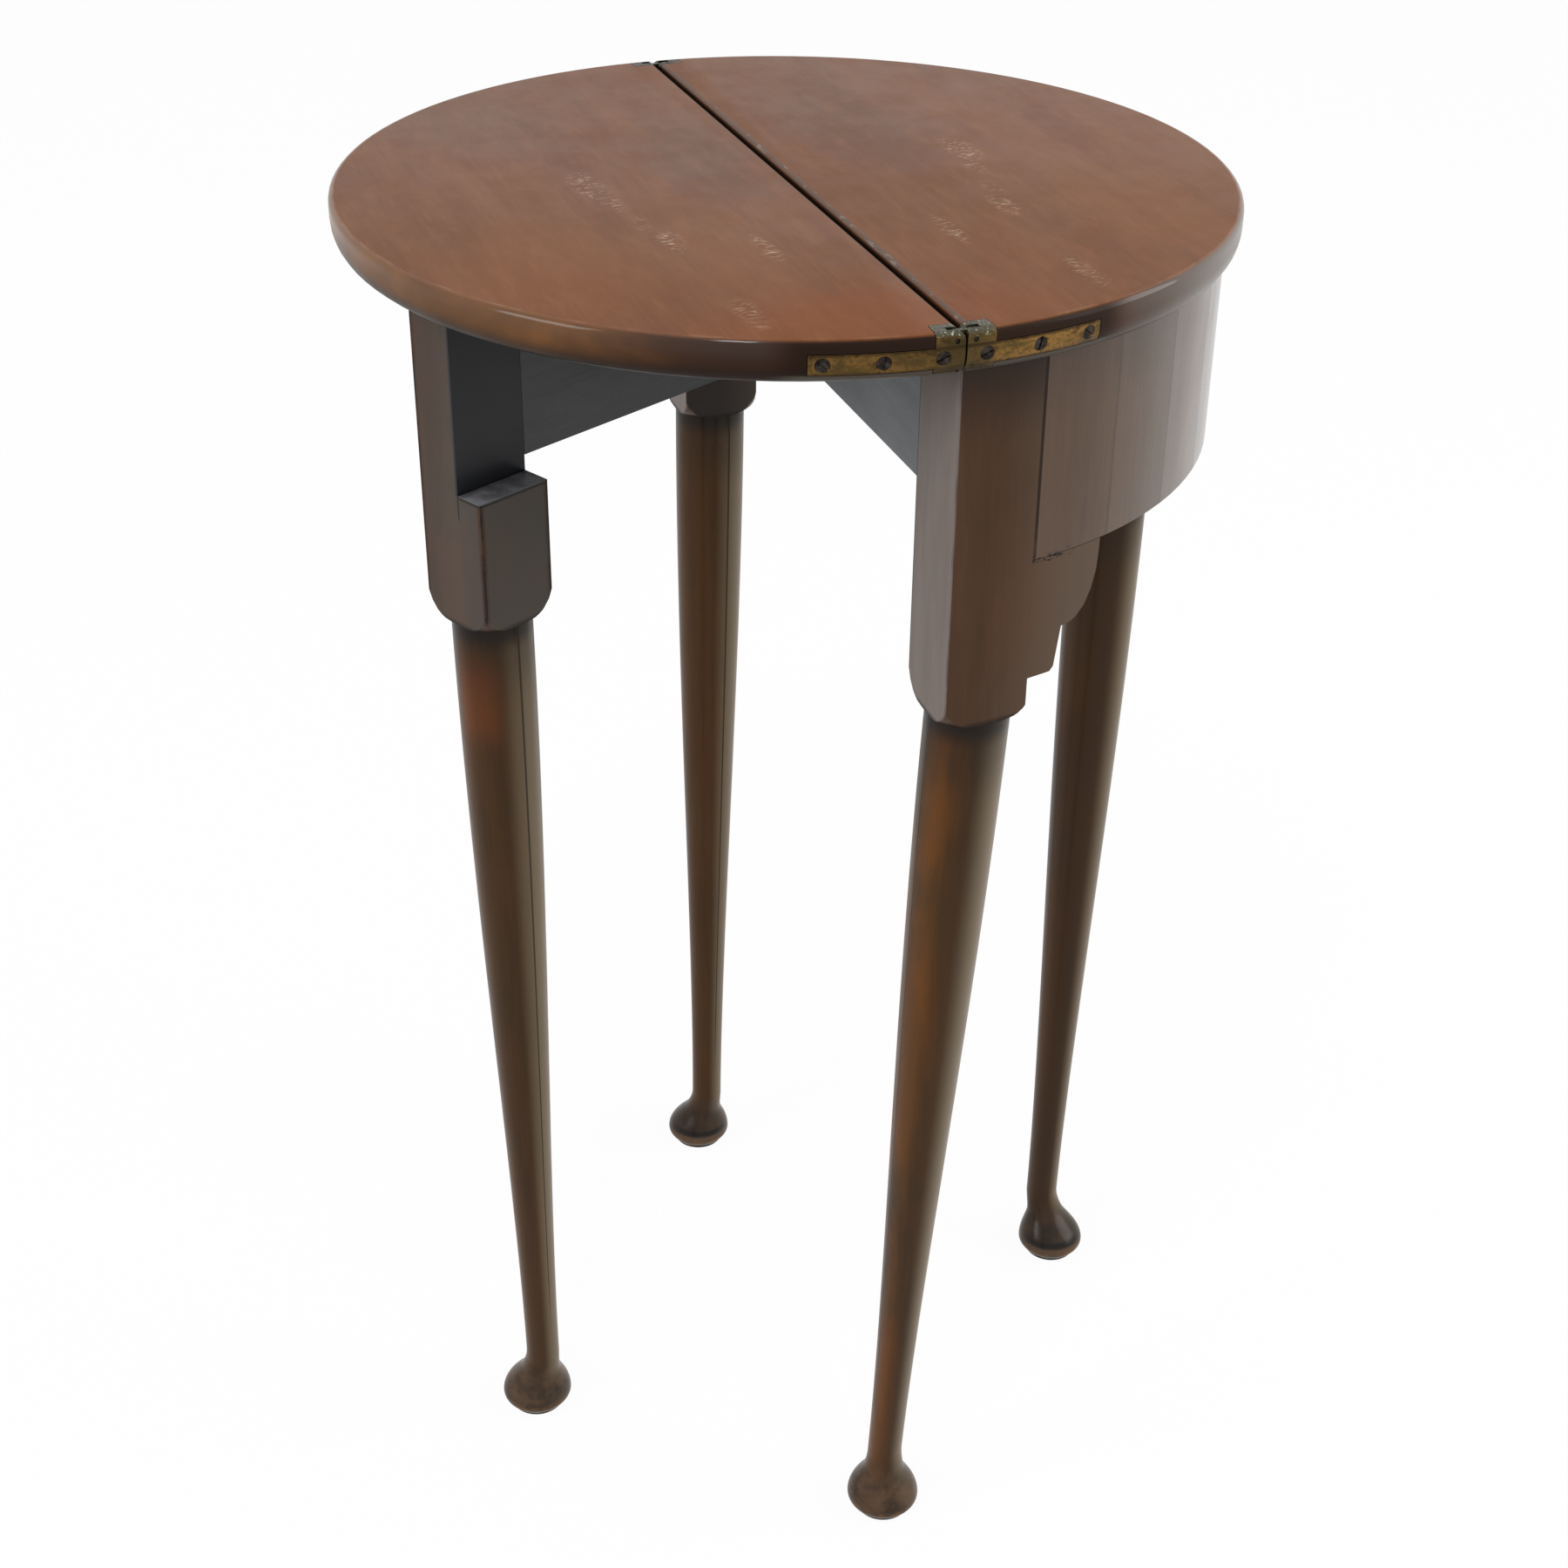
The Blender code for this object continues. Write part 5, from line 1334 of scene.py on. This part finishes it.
@dataclass
class Legs:
    """The four turned shafts with their pad feet."""

    shaft: TurnedWood = TurnedWood(
        "turned mahogany", "#62401A", "#543510", "#3C250B", "#443418", streak_share=0.35,
        stain_share=0.45, roughness=0.34, shine=0.12, varnish=0.12)
    finish: dict[Side, dict[str, Any]] = field(default_factory=lambda: {
        Side.LEFT: dict(seed=1.0, lit_amber_angle=122.0, lit_amber_share=0.50, hairline_angle=96.0,
                        shaded_band_angle=172.0),
        Side.RIGHT: dict(seed=2.6, lit_amber_angle=150.0, lit_amber_share=0.12, hairline_angle=196.0,
                         shaded_band_share=0.25, cove_shading_share=0.9, deep_share=0.15, pad_share=0.6),
        Side.FRONT: dict(seed=4.1, lit_amber_angle=110.0, lit_amber_share=0.15, hairline_share=0.0,
                         painted_sheen_angle=244.0, painted_sheen_share=0.6, cove_shading_share=0.9,
                         deep_share=0.75, pad_share=0.6),
        Side.GATE: dict(seed=5.7, lit_amber_angle=118.0, lit_amber_share=0.10, hairline_angle=204.0,
                        copper_share=0.75)})

    def shafts(self) -> list[TurnedShaft]:
        """Lists the four shafts with their axes and with their leans at ankle and pad.

        Returns:
            The shafts, not built yet.
        """
        gate_ankle = tuple(0.007 * GATE_ACROSS)
        gate_pad = tuple(0.0018 * GATE_ALONG + 0.0024 * GATE_ACROSS)
        side_x, side_y = APRON_RADIUS - HALF_BLOCK, BACK_FACE - HALF_BLOCK
        return [
            TurnedShaft(Side.LEFT, (-side_x, side_y), (0.015, 0.018), (0.0135, 0.019), "frame"),
            TurnedShaft(Side.RIGHT, (side_x, side_y), (-0.0205, 0.012), (-0.016, 0.0165), "frame"),
            TurnedShaft(Side.FRONT, (0.0, -side_x), (0.0, 0.0058), (-0.0095, 0.0024), "frame"),
            TurnedShaft(Side.GATE, GATE_AXIS, gate_ankle, gate_pad, "gate"),
        ]

    def build(self) -> None:
        """Builds and dresses the shafts."""
        for shaft in self.shafts():
            piece = shaft.build()
            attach(piece, shaft.body)
            node = "gate_leg" if shaft.side is Side.GATE else f"leg_{shaft.side.value}"
            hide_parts(node)
            name = f"turned mahogany {shaft.side.value} leg"
            finish = replace(self.shaft, name=name, **self.finish[shaft.side])
            dressed(piece, finish.build())


@dataclass(frozen=True)
class Lamp:
    """One soft rectangular lamp, of a width and a height, that looks at the aim."""

    name: str
    place: tuple[float, float, float]
    size: tuple[float, float]
    power: float
    aim: tuple[float, float, float] = (0.0, 0.0, 0.5)

    def build(self) -> None:
        """Hangs the lamp."""
        light = bpy.data.lights.new(self.name, "AREA")
        light.shape = "RECTANGLE"
        light.size, light.size_y = self.size
        light.energy = self.power
        ahead = Vector(self.aim) - Vector(self.place)
        turn = ahead.to_track_quat("-Z", "Y").to_matrix().to_4x4()
        linked(self.name, light).matrix_world = Matrix.Translation(self.place) @ turn


@dataclass(frozen=True)
class Studio:
    """A white paper floor, an even white surround and three soft lamps."""

    floor_half: float = 6.0
    surround: float = 0.60
    lamps: tuple[Lamp, ...] = (
        Lamp("key_lamp", (-0.98, 0.69, 2.49), (0.26, 0.50), 8.0),
        Lamp("left_lamp", (-0.45, 2.1, 1.45), (0.9, 0.9), 13.0),
        Lamp("right_lamp", (-0.90, -1.9, 1.35), (1.5, 1.5), 22.0),
    )

    def build(self) -> None:
        """Builds the floor, the lamps and the surround."""
        half = self.floor_half
        corners = [(-half, -half, 0.0), (half, -half, 0.0), (half, half, 0.0), (-half, half, 0.0)]
        mesh = bpy.data.meshes.new("paper_floor")
        mesh.from_pydata(corners, [], [(0, 1, 2, 3)])
        floor = linked("paper_floor", mesh)
        dressed(floor, PaperSweep().build())
        for lamp in self.lamps:
            lamp.build()
        self.surround_world()

    def surround_world(self) -> None:
        """Sets the even surround, pure white where the camera or a reflection sees it."""
        world = bpy.data.worlds.new("white surround")
        world.use_nodes = True
        tree = world.node_tree
        tree.nodes.clear()
        strength = shown(tree).step(0.0, 1.0, self.surround, 1.0)
        light = add_node(tree, "ShaderNodeBackground", {"Color": "#FFFFFF", "Strength": strength})
        add_node(tree, "ShaderNodeOutputWorld", {"Surface": light})
        bpy.context.scene.world = world


@dataclass(frozen=True)
class PhotoCamera:
    """The camera of the photograph, worked out from the table's own outline.

    It looks along yaw and pitch, then is turned by roll about that line.
    """

    place: tuple[float, float, float] = (-1.04865, 0.38343, 1.05002)
    focal_pixels: float = 2813.483
    image_pixels: float = 1800.0
    sensor_mm: float = 36.0
    yaw: float = math.radians(-20.189)
    pitch: float = math.radians(31.3551)
    roll: float = math.radians(0.6541)
    clip: tuple[float, float] = (0.05, 30.0)

    def build(self) -> None:
        """Sets up the scene's camera."""
        ahead = Vector((math.cos(self.yaw) * math.cos(self.pitch),
                        math.sin(self.yaw) * math.cos(self.pitch), -math.sin(self.pitch)))
        level = Vector((math.sin(self.yaw), -math.cos(self.yaw), 0.0))
        upright = level.cross(ahead)
        right = math.cos(self.roll) * level + math.sin(self.roll) * upright
        up = math.cos(self.roll) * upright - math.sin(self.roll) * level
        lens = bpy.data.cameras.new("photo_camera")
        lens.sensor_width = self.sensor_mm
        lens.lens = self.focal_pixels / self.image_pixels * self.sensor_mm
        lens.clip_start, lens.clip_end = self.clip
        camera = linked("photo_camera", lens)
        turn = Matrix((right, up, -ahead)).transposed().to_4x4()
        camera.matrix_world = Matrix.Translation(self.place) @ turn
        bpy.context.scene.camera = camera
        bpy.context.scene.view_settings.view_transform = "Standard"


def main() -> None:
    """Builds the scene in order: camera, top, hinges, frame, gate, legs and studio."""
    logging.basicConfig(level=logging.INFO, format="%(name)s: %(message)s")
    for part in (PhotoCamera(), Leaves(), Hinges(), BowFrame(), Gate(), Legs(), Studio()):
        part.build()


if __name__ == "__main__":
    main()
